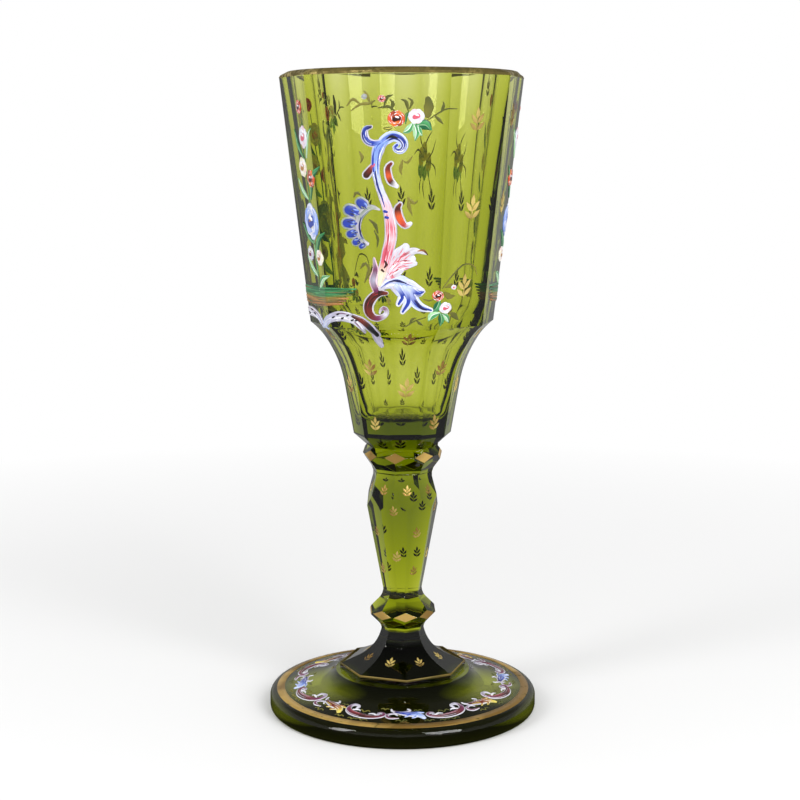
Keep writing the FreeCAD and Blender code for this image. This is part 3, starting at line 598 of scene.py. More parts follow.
def rose(sheet, middle, radius, colours, seed):
    # a bloom: a round base, petals laid round it with pale edges, a dark heart and a highlight
    colours = colours.split()
    x, y = np.asarray(middle) * sheet[1]["size"]
    small = radius * 0.25

    def dab(line, widths, picks, lift, crown, size=radius):
        brush(sheet, line, times(widths, size), [colours[pick] for pick in picks], lift, crown, shares=False)

    dab([(x - small, y), (x + small, y)], [1.8, 1.8], [0], 0.0, 0.26)
    for count, share, span, thick, lift in brushes["petals"]:
        for index in range(count):
            start = seed + share * 3 + index * math.tau / count
            line = []
            for step in range(4):
                turn = start + step * span / 3
                reach = radius * (share + 0.10 * math.sin(step * math.pi / 3))
                line.append((x + reach * math.cos(turn), y + reach * math.sin(turn)))
            pick = 1 + (index + count) % (len(colours) - 3)
            dab(line, [0.5, 1, 0.9, 0.3], [pick, 0], lift, 0.14, radius * thick)
            edge = [(x + (u - x) * brushes["petalEdge"], y + (v - y) * brushes["petalEdge"]) for u,
                    v in line[1:]]
            dab(edge, [0.05, 0.12, 0.05], [-1], lift + 0.08, 0.08)
    dab([(x - small, y - small * 0.4), (x + small, y + small * 0.3)], [0.62, 0.62], [-2], 0.32, 0.12)
    dab([(x - small * 0.2, y + small * 0.9), (x + small * 0.9, y + small * 0.6)], [0.24, 0.24], [-1], 0.42,
        0.12)


def leaf(sheet, root, tip, width, colours, bend=0.12):
    # a pointed leaf of two tones with a pale vein
    root, tip = (np.asarray(spot, float) * sheet[1]["size"] for spot in (root, tip))
    reach = tip - root
    sideways = np.array((-reach[1], reach[0]))
    middle = root + reach * 0.5 + sideways * bend
    offset = sideways / (np.linalg.norm(reach) + 1e-9) * width * 0.2
    dark, light, vein = colours.split()
    for line, widths, name, lift, crown in (
        ([root, middle, tip], times([0.25, 1, 0.9, 0.08], width), dark, 0.0, 0.2),
        ([root + offset * 0.3, middle + offset, tip], times([0.12, 0.4, 0.06], width), light, 0.16, 0.1),
        ([root, middle - offset * 0.2, root + reach * 0.9], [0.12, 0.22, 0.06], vein, 0.22, 0.08),
    ):
        brush(sheet, line, widths, name, lift, crown, shares=False)


def paintMesh(name, paint):
    # the strokes as one mesh with its colours and brush directions
    faces = [[int(i) for i in face] for face in paint["faces"]]
    mesh = newMesh(name, np.concatenate(paint["points"]).tolist(), faces=faces)
    colours = np.concatenate(paint["colours"])
    layer = mesh.attributes.new("paint", "FLOAT_COLOR", "POINT")
    layer.data.foreach_set("color", np.hstack([colours, np.ones((len(colours), 1))]).ravel())
    grain = mesh.attributes.new("grain", "FLOAT_VECTOR", "POINT")
    grain.data.foreach_set("vector", np.concatenate(paint["grain"]).ravel())
    mesh.attributes.new("under", "FLOAT", "FACE").data.foreach_set("value", paint["under"])
    facedOut(mesh)
    mesh.polygons.foreach_set("use_smooth", [True] * len(mesh.polygons))
    return mesh


def addPiece(name, mesh, finish, nodes=()):
    # a finished piece in metres that stands for CAD nodes
    mesh.name = name
    mesh.transform(Matrix.Scale(mm, 4))
    mesh.materials.clear()
    mesh.materials.append(finish)
    piece = place(name, mesh)
    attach(piece, "root")
    if nodes:
        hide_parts(*nodes)


# Tones of the enamels, as they look in daylight
tones = {
    "white": (242, 242, 248),
    "pearl": (214, 214, 226),
    "lilac": (176, 172, 192),
    "rim": (198, 194, 206),
    "haze": (146, 156, 140),
    "cobalt": (32, 58, 162),
    "navy": (22, 24, 84),
    "sky": (132, 160, 230),
    "pale": (196, 208, 244),
    "cream": (232, 226, 196),
    "blush": (238, 196, 208),
    "rose": (214, 92, 112),
    "crimson": (170, 36, 50),
    "plum": (112, 40, 84),
    "brown": (112, 34, 20),
    "dark": (58, 18, 14),
    "orange": (214, 84, 34),
    "amber": (232, 128, 44),
    "leafDark": (18, 98, 58),
    "leafMiddle": (70, 150, 90),
    "leafPale": (160, 206, 156),
    "olive": (112, 118, 40),
    "yellow": (226, 208, 96),
    "ochre": (176, 120, 58),
    "earth": (120, 84, 44),
    "black": (18, 18, 22),
}


redRose = "orange orange amber brown dark white"
whiteRose = "pearl white blush pearl rose white"
smallRed = "orange brown crimson orange dark white"
greenLeaf = "leafDark leafMiddle leafPale"
paleLeaf = "leafPale leafMiddle white"


def scrollStem(sheet):
    crest = [(.262, .757), (.305, .784), (.363, .799), (.418, .788), (.443, .763), (.424, .741), (.388, .741),
             (.374, .753), (.392, .764)]
    hook = [(.204, .838), (.165, .828), (.159, .801), (.182, .778), (.227, .769), (.280, .775)]
    stem = [(.318, .783), (.262, .752), (.238, .700), (.236, .655), (.252, .610), (.284, .554), (.317, .505),
            (.336, .460), (.346, .403), (.340, .358), (.321, .313), (.303, .265), (.282, .221), (.262, .176)]
    volute = [(.310, .137), (.262, .137), (.219, .122), (.182, .089), (.182, .053), (.222, .030),
              (.279, .033),
              (.312, .051), (.300, .072), (.272, .066), (.262, .052)]
    stemWidths = [2.0, 4.0, 3.0, 2.5, 2.4, 2.6, 3.1, 3.5, 3.9, 3.9, 3.7, 3.5, 3.6, 1.6]
    stemTones = "sky sky sky sky pale pearl blush blush rose blush rose rose cream cream"
    outlined(sheet, hook, [1.2, 2.1, 2.6, 2.5, 2.2, 1.8], "navy cobalt cobalt cobalt sky",
             "rim", inner=.66)
    outlined(sheet, stem, stemWidths, stemTones, "rim", inner=.82)
    outlined(sheet, crest, [2.0, 3.2, 3.5, 3.2, 3.0, 2.6, 2.2, 1.7, 1.2], "sky cobalt cobalt cobalt",
             "pale", inner=.6)
    streaks(sheet, crest, [2.0, 2.6, 2.8, 2.6, 2.4, 2.0, 1.6, 1.2, .8], "white navy sky white", 10, .3,
            thin=.3)
    brush(sheet, [(.315, .789), (.352, .799), (.395, .792)], [.3, 1.0, .4], "black", .34, .1)
    streaks(sheet, stem[:7], stemWidths[:7], "cobalt pale cobalt white", 12, .3)
    streaks(sheet, stem[6:], stemWidths[6:], "rose blush crimson white", 18, .3)
    brush(sheet, [(.233, .655), (.247, .600), (.280, .545), (.300, .505)], [.3, .7, .6, .2],
          "navy cobalt", .33, .1)
    for spot in ((.300, .487), (.309, .462)):
        brush(sheet, [spot, (spot[0] + .014, spot[1] - .002)], [.9, .8], "cobalt", .32, .14)
    streaks(sheet, hook, [1.6] * 6, "sky navy white", 6, .3, thin=.28)
    brush(sheet, [(.300, .276), (.312, .262), (.296, .247)], [.5, 1.0, .4], "dark", .33, .12)
    brush(sheet, [(.278, .238), (.290, .232)], [.7, .6], "dark", .33, .12)
    outlined(sheet, volute, [1.4, 2.4, 3.0, 3.5, 3.5, 3.2, 2.4, 1.9, 1.7, 1.4, .7],
             "brown dark brown dark brown brown plum pearl plum pearl", "rim", inner=.76)
    streaks(sheet, volute[:6], [2.2] * 6, "crimson dark black", 9, .3)


def scrollShell(sheet):
    rim = [(.262, .494), (.210, .504), (.160, .490), (.120, .460), (.106, .420), (.116, .386), (.140, .360),
           (.174, .348)]
    rimWidths = [.6, 1.7, 2.4, 2.2, 1.8, 1.6, 1.7, 1.2]
    lobes = [((.170, .500), (.126, .522), 3.5), ((.104, .476), (.042, .490), 3.9),
             ((.088, .434), (.026, .434), 3.7),
             ((.098, .396), (.050, .388), 3.0), ((.124, .368), (.088, .354), 2.6),
             ((.160, .352), (.130, .337), 1.9)]
    for root, tip, width in lobes:
        middle = ((root[0] + tip[0]) / 2, (root[1] + tip[1]) / 2)
        brush(sheet, [root, middle, tip], [width * .8, width * 1.15, width * 1.1], "haze lilac haze", .0, .16)
        brush(sheet, [root, middle, tip], [width * .5, width * .84, width * .78], "cobalt cobalt cobalt", .12,
              .2)
        streaks(sheet, [root, tip], [width * .7] * 2, "navy sky navy haze", 12, .28, thin=.42)
    brush(sheet, rim, rimWidths, "rim haze haze haze lilac lilac haze rim", .16, .16)
    streaks(sheet, rim, rimWidths, "rim haze cobalt lilac", 14, .28, thin=.26)
    brush(sheet, [(.132, .462), (.118, .424), (.128, .390), (.146, .370)], [.15, .5, .45, .15], "navy", .3,
          .1)


def scrollCommas(sheet):
    for spots, widths, colours in (
        ([(.348, .686), (.326, .672), (.325, .648), (.343, .614), (.388, .592)], [.9, 1.6, 1.8, 1.7, .5],
         "brown brown orange dark white"),
        ([(.412, .516), (.395, .498), (.400, .470), (.420, .444), (.452, .425), (.486, .434)],
         [.9, 2.0, 2.2, 2.1, 1.4, .5], "brown dark orange orange crimson white"),
        ([(.228, .684), (.204, .664), (.172, .640)], [.9, 1.8, 2.1], "rose brown dark"),
    ):
        brush(sheet, spots, [width + .9 for width in widths], "rim rim pearl", .0, .2)
        brush(sheet, spots, widths, colours, .12, .26)


def scrollLeaves(sheet):
    # the white and rose leaf, the bud and the blue acanthus
    root = (.345, .236)
    for spots, widths in (
        ([root, (.400, .290), (.452, .334)], [2.2, 4.6, 5.2, 2.6]),
        ([root, (.430, .286), (.515, .318), (.608, .303)], [2.2, 5.4, 3.6, 1.8, .4]),
        ([root, (.420, .270), (.492, .282)], [2.2, 5.0, 5.2, 3.0]),
        ([root, (.430, .258), (.520, .264)], [1.8, 4.2, 3.4, 1.6]),
        ([(.330, .205), (.378, .224), (.440, .246)], [1.6, 3.2, 2.8, 1.4]),
    ):
        brush(sheet, spots, widths, "blush rim pearl", .0, .26)
        streaks(sheet, [spots[0], spots[-1]] if len(spots) < 3 else spots[:3], widths[:3],
                "rose blush crimson white rose blush", 13, .24, thin=.36)
    brush(sheet, [(.540, .318), (.585, .320), (.612, .302)], [.3, .7, .3], "ochre dark", .28, .1)
    bud = [(.236, .150), (.214, .190), (.232, .238), (.222, .286)]
    outlined(sheet, bud, [2.4, 2.6, 1.9, .8], "plum lilac plum lilac", "blush", inner=.7)
    spine = [(.264, .156), (.325, .179), (.395, .182), (.470, .166), (.575, .149)]
    fingers = [([(.385, .168), (.428, .126), (.400, .090)], [3.4, 2.8, 1.5]),
               ([(.440, .160), (.474, .104), (.430, .056)], [4.0, 3.0, 2.4, 1.4]),
               ([(.476, .155), (.514, .104), (.562, .076), (.640, .062)], [4.4, 3.0, 2.4, 1.2]),
               ([(.480, .155), (.545, .135), (.585, .143)], [3.6, 2.6, .9])]
    fingers = [(line, times(widths, 1.2)) for line, widths in fingers]
    for line, widths in [(spine, [1.6, 3.8, 5.2, 4.4, 1.4])] + fingers:
        brush(sheet, line, widths, "rim pale pearl", .0, .22)
    for line, widths in fingers:
        brush(sheet, line, times(widths, .4), "pale cobalt cobalt", .18, .14)
        streaks(sheet, line, times(widths, .8), "cobalt sky white navy", 7, .24, thin=.32)
    streaks(sheet, spine, [1.2, 2.8, 3.6, 3.0, .7], "sky white cobalt pale", 14, .2, thin=.34)
    brush(sheet, [(.335, .188), (.385, .192), (.455, .180)], [.3, .9, .3], "navy", .28, .1)
    brush(sheet, [(.520, .105), (.565, .074), (.605, .064)], [.4, 1.1, .5], "navy", .32, .1)


def scrollFlowers(sheet):
    for stroke in (
        ((.386, .872), 2.35, redRose, .4),
        ((.529, .881), 2.2, whiteRose, 1.3),
        ((.281, .953), 1.05, smallRed, .2),
        ((.158, .962), .8, "haze rim lilac haze haze rim", .9),
        ((.690, .124), 1.6, smallRed, .8),
        ((.744, .070), 1.75, whiteRose, 2.0),
        ((.807, .158), .75, whiteRose, .0),
    ):
        rose(sheet, *stroke)


def scrollFoliage(sheet):
    for stroke in (
        ((.530, .844), (.640, .824), 3.2, greenLeaf, .2),
        ((.510, .852), (.520, .780), 2.3, paleLeaf),
        ((.500, .852), (.432, .812), 2.2, paleLeaf),
        ((.540, .846), (.572, .800), 1.9, paleLeaf, -.1),
        ((.360, .836), (.290, .834), 1.2, "olive olive yellow"),
        ((.452, .850), (.478, .905), 1.1, "leafDark olive leafMiddle"),
        ((.700, .102), (.652, .054), 2.6, greenLeaf),
        ((.700, .050), (.618, .014), 2.4, paleLeaf, -.15),
        ((.705, .048), (.706, -.008), 2.1, greenLeaf),
        ((.720, .044), (.770, .004), 2.0, paleLeaf),
    ):
        leaf(sheet, *stroke)


def baseScroll(sheet):
    arch = [(-.165, -.030), (-.125, .010), (-.030, .027), (.062, .016), (.118, -.012), (.150, -.038)]
    brush(sheet, arch, [1.6, 2.6, 3.4, 3.2, 2.4, 1.0], "pale lilac pearl lilac", .0, .24)
    streaks(sheet, arch, [1.6, 2.6, 3.4, 3.2, 2.4, 1.0], "white lilac plum pearl", 14, .24, thin=.34)
    for share in ((-.09, .020), (-.055, .035), (-.02, .018), (.02, .032), (.055, .012), (.085, .012)):
        brush(sheet, [share, (share[0] + .012, share[1] + .004)], [.6, .4], "black", .3, .1)
    tail = [(.062, .030), (.130, .012), (.190, -.016), (.240, -.046)]
    outlined(sheet, tail, [1.6, 2.5, 2.8, 2.4], "dark brown black black", "lilac", inner=.66)
    brush(sheet, [(.225, -.050), (.250, -.074), (.272, -.098)], [2.2, 2.6, 1.6], "lilac lilac", .04, .24)


def scrollTendrils(sheet):
    # curls and twigs in dull gold paint around the scroll
    for spots, widths in (
        ([(.060, .905), (.130, .930), (.200, .934), (.232, .945)], [.2, .5, .7, .3]),
        ([(.130, .930), (.075, .952), (.030, .925)], [.3, .7, .2]),
        ([(.200, .934), (.170, .975), (.150, .985)], [.3, .8, .2]),
        ([(.380, .900), (.330, .920), (.255, .915)], [.2, .7, .2]),
        ([(.300, .926), (.320, .958), (.360, .968)], [.3, .9, .2]),
        ([(.350, .906), (.362, .935), (.340, .950)], [.3, .9, .2]),
        ([(.470, .905), (.455, .940), (.420, .950)], [.3, .9, .2]),
        ([(.480, .912), (.500, .942), (.470, .955)], [.3, .7, .2]),
        ([(.600, .862), (.660, .884), (.740, .910), (.820, .912)], [.2, .35, .35, .2]),
        ([(.660, .884), (.690, .868), (.720, .850)], [.3, .8, .2]),
        ([(.705, .898), (.725, .925), (.720, .940)], [.3, .8, .2]),
        ([(.610, .888), (.618, .925), (.612, .950)], [1.5, 2.2, 1.3]),
        ([(.120, .735), (.140, .712), (.128, .690)], [.3, .8, .2]),
        ([(.430, .700), (.465, .690), (.500, .715)], [.2, .6, .2]),
        ([(.430, .700), (.415, .660), (.425, .640)], [.3, .9, .2]),
        ([(.470, .545), (.510, .520), (.540, .530)], [.2, .8, .2]),
        ([(.470, .545), (.480, .500), (.500, .470)], [.3, .9, .2]),
        ([(.075, .545), (.095, .565), (.130, .552)], [.3, .8, .2]),
        ([(.190, .450), (.230, .430), (.250, .395)], [.3, .9, .3]),
        ([(.225, .405), (.250, .370), (.245, .335)], [.2, .6, .2]),
        ([(.160, .265), (.185, .235), (.150, .180)], [.4, .9, .2]),
        ([(.120, .240), (.150, .262), (.175, .258)], [.2, .8, .3]),
        ([(.340, .100), (.320, .120), (.330, .085)], [.3, .9, .2]),
        ([(.580, .110), (.625, .103), (.655, .108)], [.2, .4, .2]),
        ([(.450, -.010), (.520, .015), (.600, .030)], [.2, .3, .2]),
        ([(.480, .000), (.500, .022), (.530, .028)], [.2, .7, .2]),
        ([(.530, .018), (.560, .002), (.580, -.004)], [.2, .7, .2]),
        ([(.725, .155), (.785, .200), (.880, .252), (.960, .245), (.985, .205)], [.2, .35, .35, .35, .2]),
        ([(.735, .140), (.775, .118), (.815, .120)], [.3, 1.5, .3]),
        ([(.745, .158), (.790, .165), (.830, .150)], [.3, 1.1, .2]),
        ([(.775, .050), (.810, .035), (.845, .012)], [.3, 1.4, .3]),
        ([(.790, .030), (.770, .015), (.775, .000)], [.3, 1.0, .2]),
    ):
        brush(sheet, spots, times(widths, 1.4), "ochre", .0, .12)


def farSpray(blooms, foliage, twigs):
    # a small spray of berries and leaves on the far side
    for x, y in ((.020, .712), (-.058, .664), (.075, .690)):
        brush(blooms, [(x, y - .020), (x, y + .020)], [3.6, 4.0, 3.4], "yellow olive yellow", .0, .24)
        streaks(blooms, [(x, y - .022), (x, y + .022)], [2.0] * 2, "olive cream leafDark", 6, .22)
    leaf(foliage, (.060, .665), (.070, .588), 4.2, paleLeaf)
    leaf(foliage, (-.010, .650), (.000, .580), 3.8, paleLeaf)
    leaf(foliage, (-.060, .640), (-.075, .590), 1.4, paleLeaf)
    for spots in (
        [(.03, .72), (.09, .76), (.10, .80)], [(.03, .72), (-.03, .77), (-.10, .80)],
        [(-.05, .68), (-.12, .71), (-.17, .76)], [(.02, .60), (.03, .55), (.00, .50)],
        [(.06, .60), (.09, .56), (.08, .52)], [(-.06, .60), (-.10, .55), (-.10, .50)],
        [(.06, .70), (.14, .72), (.20, .70)], [(-.10, .66), (-.17, .64), (-.20, .60)],
    ):
        brush(twigs, spots, [.25, .7, .2], "ochre", .0, .12)


# Upright bouquets beside the scrolls: blooms on one stem over a painted strip of ground
def bouquetBlooms(sheet):
    unit = 5.4
    lilac = "lilac pearl pale white plum cream"
    cream = "cream white cream blush ochre white"
    blue = "sky pale white sky cobalt white"
    for middle, share, colours, seed in (
        ((-.02, .945), .38, smallRed, .0), ((.05, .800), .62, whiteRose, .6), ((-.13, .655), .55, cream, 1.1),
        ((.20, .600), .50, redRose, .2), ((.00, .390), 1.00, blue, .8), ((-.22, .230), .42, lilac, 1.9),
        ((.20, .215), .46, cream, 2.4),
    ):
        rose(sheet, middle, unit * share, colours, seed)
        if share > .9:
            x, y = middle
            rose(sheet, (x - .02, y + .004), unit * .5, "pearl white sky cream ochre cream", .3)


def bouquetFoliage(sheet):
    unit = 9
    brush(sheet, [(.00, .02), (.03, .15), (.00, .28), (.02, .32)], [1.1, .9, .8, .6],
          "earth leafMiddle leafPale", .0, .2)
    brush(sheet, [(.00, .46), (.03, .58), (.00, .72), (.02, .90)], [.7, .6, .5, .3],
          "leafMiddle leafDark", .0, .18)
    for root, tip, share, pale in (
        ((.02, .20), (.42, .34), .34, False), ((.02, .12), (-.40, .22), .26, True),
        ((.02, .05), (.42, .13), .28, True), ((.10, .50), (.48, .66), .30, False),
        ((-.05, .50), (-.44, .60), .26, True), ((.10, .70), (.40, .84), .26, True),
        ((-.05, .70), (-.36, .84), .26, False), ((.02, .28), (-.44, .38), .24, False),
    ):
        leaf(sheet, root, tip, unit * share, paleLeaf if pale else greenLeaf, .1)


def bouquetGround(sheet):
    rows = [(.062, "leafMiddle", "leafDark"), (.046, "leafDark", "leafMiddle"), (.030, "olive", "leafMiddle"),
            (.014, "ochre", "olive"), (.000, "earth", "ochre"), (-.014, "ochre", "earth")]
    for index, (height, first, second) in enumerate(rows):
        start, stop = -1.06 + .07 * index, .84 - .05 * index
        line = [(start, height), (start * .4 + stop * .6 - .4, height - .008), (stop - .3, height + .002),
                (stop, height + .008)]
        brush(sheet, line, [.7, 1.5, 1.5, .5], [first, second, first], .02 * index, .22)
        streaks(sheet, line, [1.3] * 4, [second, first, "leafDark", "earth"], 7, .24 + .02 * index, thin=.36)


# Border of scrolls round the foot; one unit holds two scroll and leaf pairs
border = {"middle": 33.49, "swing": 5.88, "stroke": 2.115, "turn": 12.0, "repeats": 8}


def borderPanel():
    # along the ring from left to right, and outward across it
    outline = outlinePoints(glass["foot"])[::-1]
    heights, reaches = [spot.y for spot in outline], [spot.x for spot in outline]

    def spotAt(x, y, lift):
        reach = border["middle"] + y
        angle = math.radians(border["turn"] - 90) + x / border["middle"]
        order = np.argsort(reaches)
        height = np.interp(reach, np.array(reaches)[order], np.array(heights)[order])
        return np.stack([reach * np.cos(angle), reach * np.sin(angle), height + lift], -1)

    return {"spotAt": spotAt, "size": (math.tau * border["middle"] / border["repeats"], -border["swing"])}


def borderUnit(scrolls, leaves, twigs):
    # a long C that ends in curls, and a shorter S of a curl, a bar and a leaf
    cShape = [(.13, .20), (.135, .44), (.07, .54), (.025, .34), (.04, -.02), (.11, -.28), (.22, -.44),
              (.34, -.50),
              (.45, -.42), (.51, -.22), (.49, -.02), (.44, -.06), (.445, -.22)]
    widths = [border["stroke"] * share for share in (.3, .42, .5, .66, .95, 1.15, 1.2, 1.15, .95, .7, .5, .42,
                                                     .25)]
    curl = [(.67, -.18), (.63, -.02), (.565, -.10), (.55, -.34), (.60, -.50), (.68, -.48)]
    bar = [(.585, .44), (.60, .26), (.68, .16), (.77, .20), (.83, .36), (.80, .50)]
    blade = [(.64, .10), (.76, .02), (.87, -.08), (.94, -.24), (.97, -.50)]
    bladeWidths = [border["stroke"] * share for share in (.4, .95, 1.35, 1.15, .5)]
    for index, colours in enumerate((("brown", "ochre", "yellow", "dark"),
                                     ("cobalt", "sky", "pale", "navy"))):
        # the first C is mirrored; everything is moved on by one for the second pair
        move = lambda line: [((x if index else .54 - x) + index, y) for x, y in line]
        shift = lambda line: [(x + index, y) for x, y in line]
        line = move(cShape)
        brush(scrolls, line, [width + .4 for width in widths], "rim pearl rim", .0, .2)
        brush(scrolls, line, times(widths, .9), "pearl lilac plum brown dark brown plum lilac", .14, .2)
        streaks(scrolls, line[3:11], widths[3:11], "rim dark rose dark plum", 16, .3, thin=.22)
        for line in ([(.10, .02), (.17, .10), (.20, .00)], [(.44, -.34), (.38, -.14), (.33, -.20)]):
            brush(scrolls, move(line), [.5, .8, .35], "white pearl", .06, .2)
        brush(leaves, shift(curl), [.5, .8, 1.1, 1.3, 1.2, .6], "pearl rim pearl", .0, .22)
        brush(leaves, shift(curl[1:]), [.3, .5, .75, .6, .25], "lilac plum brown", .16, .16)
        brush(leaves, shift(bar), [.7, 1.0, 1.1, 1.1, 1.0, .6], "pearl rim pearl", .0, .22)
        brush(leaves, shift(bar[1:-1]), [.3, .55, .55, .3], ["plum", colours[3], "lilac"], .16, .16)
        brush(leaves, shift(blade), [width + .4 for width in bladeWidths], ["rim", "pearl", colours[2]], .02,
              .22)
        brush(leaves, shift(blade), times(bladeWidths, .8),
              [colours[3], colours[0], colours[0], colours[1], colours[2]], .18, .2)
        streaks(leaves, shift(blade), bladeWidths, ["white", colours[0], colours[2], colours[1]], 11, .34,
                thin=.24)
        for line, widest in (([(.80, .00), (.80, -.20), (.76, -.34)], 1.0),
                             ([(.89, -.12), (.88, -.34), (.84, -.46)], 1.0),
                             ([(.84, .00), (.92, .10), (.99, .04)], 1.1)):
            brush(leaves, shift(line), [widest, widest * 1.1, widest * .4], ["white", colours[2]], .04, .2)
            brush(leaves, shift(line), [widest * .5, widest * .6, widest * .2], [colours[0], colours[1]], .2,
                  .12)
        for x, y, size in ((.25, .02, 1.5), (.29, -.86, 1.2), (.70, -.16, 1.0), (.72, -.74, 1.2),
                           (.50, .46, 1.0), (.02, -.80, 1.0),
                           (.93, .34, 1.0), (.18, -.86, .9)):
            for side in (-1, 1):
                line = [(x + index, y - .08), (x + index + side * .030 * size, y + .10 * size),
                        (x + index + side * .052 * size, y - .02)]
                brush(twigs, line, [.3, .6, .25], "ochre", .0, .12)


# Gold: the lip, the knops, two rings, and small leaf sprigs strewn over the facets
gold = {
    "film": 0.1,
    "lipFrom": 119.0,
    "band": (39.8, 42.5),
    "bevel": 0.06,
    "sunk": -0.04,
    "lozengeInset": 0.12,
    "lineShare": 0.55,
    "lineOut": 0.11,
    "lineBevel": 0.08,
    "sprigLift": 0.018,
    "sprigBack": -0.006,
}


def ringMesh(name, rings):
    # rings of points joined into one closed band
    faces = bandFaces(len(rings), len(rings[0]), closed=True)
    return facedOut(newMesh(name, np.concatenate(rings).tolist(), faces=faces))


def lipGold():
    # a film over the ground lip, with its own back sunk a little into the glass
    base, film, turn = level("bowl"), gold["film"], glass["turns"]["bowl"]
    outer = [(share, radius, height + base) for share, radius, height in glass["lip"]]
    edge = [(1.0, glass["bowl"][-1][0], gold["lipFrom"] + base)]
    grown = lipRings(edge + outer[:4], turn, film)
    top = lipRings([(0.0, radius, height + film) for share, radius, height in outer[4:6]], turn)
    inside = lipRings(outer[6:8], turn, -film)
    back = lipRings([outer[7], outer[6]], turn, 0.06)
    under = lipRings([(share, radius, height - 0.05) for share, radius, height in outer[3:6][::-1]], turn)
    below = lipRings(outer[:3][::-1] + edge, turn, -0.06)
    return ringMesh("lip_gilding", grown + top + inside + back + under + below)


def sweptRing(name, outline, facets, turn):
    # a closed outline swept round the axis
    outline = outlineMesh(name, [Vector(spot) for spot in outline], 0, closed=True)
    turn = math.radians(turn - 90 + 180 / facets)
    return facedOut(grow(name, outline, sweepInFacets, Facets=facets, Turn=turn), glass["seam"])


def footBand():
    # a flat band on the slope of the foot, between two stops of the foot's outline
    (lowReach, low), (highReach, high) = glass["foot"][3][:2], glass["foot"][4]
    fall = (high - low) / (lowReach - highReach)
    inner, outer = gold["band"]
    outline = []
    for reach, beside, lift in ((inner, 0, gold["sunk"]), (inner, gold["bevel"], gold["film"]),
                                (outer, -gold["bevel"], gold["film"]), (outer, 0, gold["sunk"])):
        outline.append((reach + beside, high - (reach - highReach) * fall + lift))
    return sweptRing("foot_gold_band", outline, glass["facets"]["round"], 0)


def edgeLine():
    low, high = level("pedestal_gold_line"), level("pedestal_gold_line", True)
    low = high - (high - low) * gold["lineShare"]
    reach = glass["pedestal"][0][0]
    back, bevel = reach + gold["sunk"], gold["lineBevel"]
    outline = [(back, low), (reach + bevel, low + bevel), (reach + gold["lineOut"], (low + high) / 2),
               (reach + bevel, high - bevel), (back, high)]
    return sweptRing("pedestal_gold_line", outline, glass["facets"]["other"], glass["turns"]["pedestal"])


def lozenges(name, knop, node):
    # flat diamonds on the cut corners of a knop
    outline = [Vector(spot[:2]) for spot in glass[knop]]
    reach = glass["cornerFlats"][knop]
    girdle = max(outline, key=lambda spot: spot.x)
    crossings = []
    for a, b in zip(outline, outline[1:]):
        if (a.x - reach) * (b.x - reach) < 0:
            crossings.append(a.y + (b.y - a.y) * (reach - a.x) / (b.x - a.x))
    half = (girdle.x - reach) * math.tan(math.radians(67.5)) - gold["lozengeInset"]
    low, high = crossings[0] + gold["lozengeInset"], crossings[1] - gold["lozengeInset"]
    angle = math.radians(glass["turns"][knop] + 22.5 - 90)
    outward, aside = Vector((math.cos(angle), math.sin(angle), 0)), Vector((-math.sin(angle), math.cos(angle),
                                                                            0))
    rows = []
    middle = girdle.y
    for lift, share in ((gold["sunk"], 1.0), (gold["film"] * 0.8, 0.985), (gold["film"], 0.93)):
        corners = [(half * share, middle), (0, middle + (high - middle) * share), (-half * share, middle),
                   (0, middle + (low - middle) * share)]
        rows.append([outward * (reach + lift) + aside * x + Vector((0, 0, z + level(node))) for x,
                     z in corners])
    points = [spot for row in rows for spot in row]
    sides = glass["facets"]["other"]
    mesh = newMesh(name, points, faces=[(3, 2, 1, 0), (8, 9, 10, 11)] + bandFaces(3, 4))
    return facedOut(grow(name, mesh, repeatAround, Copies=sides, Step=math.tau / sides))


def sprigShape():
    # a stalk and five small leaves in the plane of the glass, one unit tall
    points, faces, side = [], [], []

    def slip(root, tip, width):
        root, tip = Vector(root), Vector(tip)
        reach = tip - root
        across = Vector((-reach.y, reach.x)).normalized() * width / 2
        rim = [root, root + reach * 0.3 + across * 0.9, root + reach * 0.62 + across * 0.8, tip,
               root + reach * 0.62 - across * 0.8,
               root + reach * 0.3 - across * 0.9]
        start = len(points)
        points.extend([(spot.x, spot.y, gold["sprigBack"]) for spot in rim])
        points.extend([(spot.x, spot.y, gold["sprigLift"] * 0.6) for spot in rim])
        heart = root + reach * 0.45
        points.append((heart.x, heart.y, gold["sprigLift"]))
        count = len(rim)
        faces.append(tuple(range(start + count - 1, start - 1, -1)))
        for index in range(count):
            after = (index + 1) % count
            faces.append((start + index, start + after, start + count + after, start + count + index))
            faces.append((start + count + index, start + count + after, start + 2 * count))
        side.extend([1.0] * count + [0.0] * (count + 1))

    for blade in sprigs["blades"]:
        slip(*blade)
    mesh = newMesh("sprig", points, faces=faces)
    mesh.attributes.new("under", "FLOAT", "POINT").data.foreach_set("value", side)
    return facedOut(mesh)


sprigs = {
    # heights in the frame: on the wall by direction in degrees, elsewhere by turns from facet to facet
    "wall": {40: [194.5, 167.5, 143.5], 76: [196.0, 169.0], 148: [167.5, 142.5], 184: [169.0, 143.0],
             -104: [203.5], 112: [203.5]},
    "wallHeight": 7.8,
    "low": [[127.0, 110.4], [116.8, 98.4]],
    "lowHeight": [[6.4, 7.2], [6.4, 5.4]],
    "shoulder": 75.3,
    "stem": [[60.9, 47.8], [68.7, 52.7]],
    "stemHeight": 3.9,
    "pedestal": 17.8,
    "pedestalHeight": 4.4,
    # root, tip and width of the stalk and the leaves, for a sprig one unit tall
    "blades": [((0, 0.0), (0, 0.60), 0.05), ((0, 0.54), (0.02, 1.0), 0.22),
               ((0.02, 0.38), (0.33, 0.76), 0.19),
               ((-0.02, 0.36), (-0.33, 0.72), 0.19), ((0.02, 0.12), (0.38, 0.43), 0.19),
               ((-0.02, 0.10), (-0.38, 0.39), 0.19)],
    "seed": 5,
    "uneven": 0.08,
}


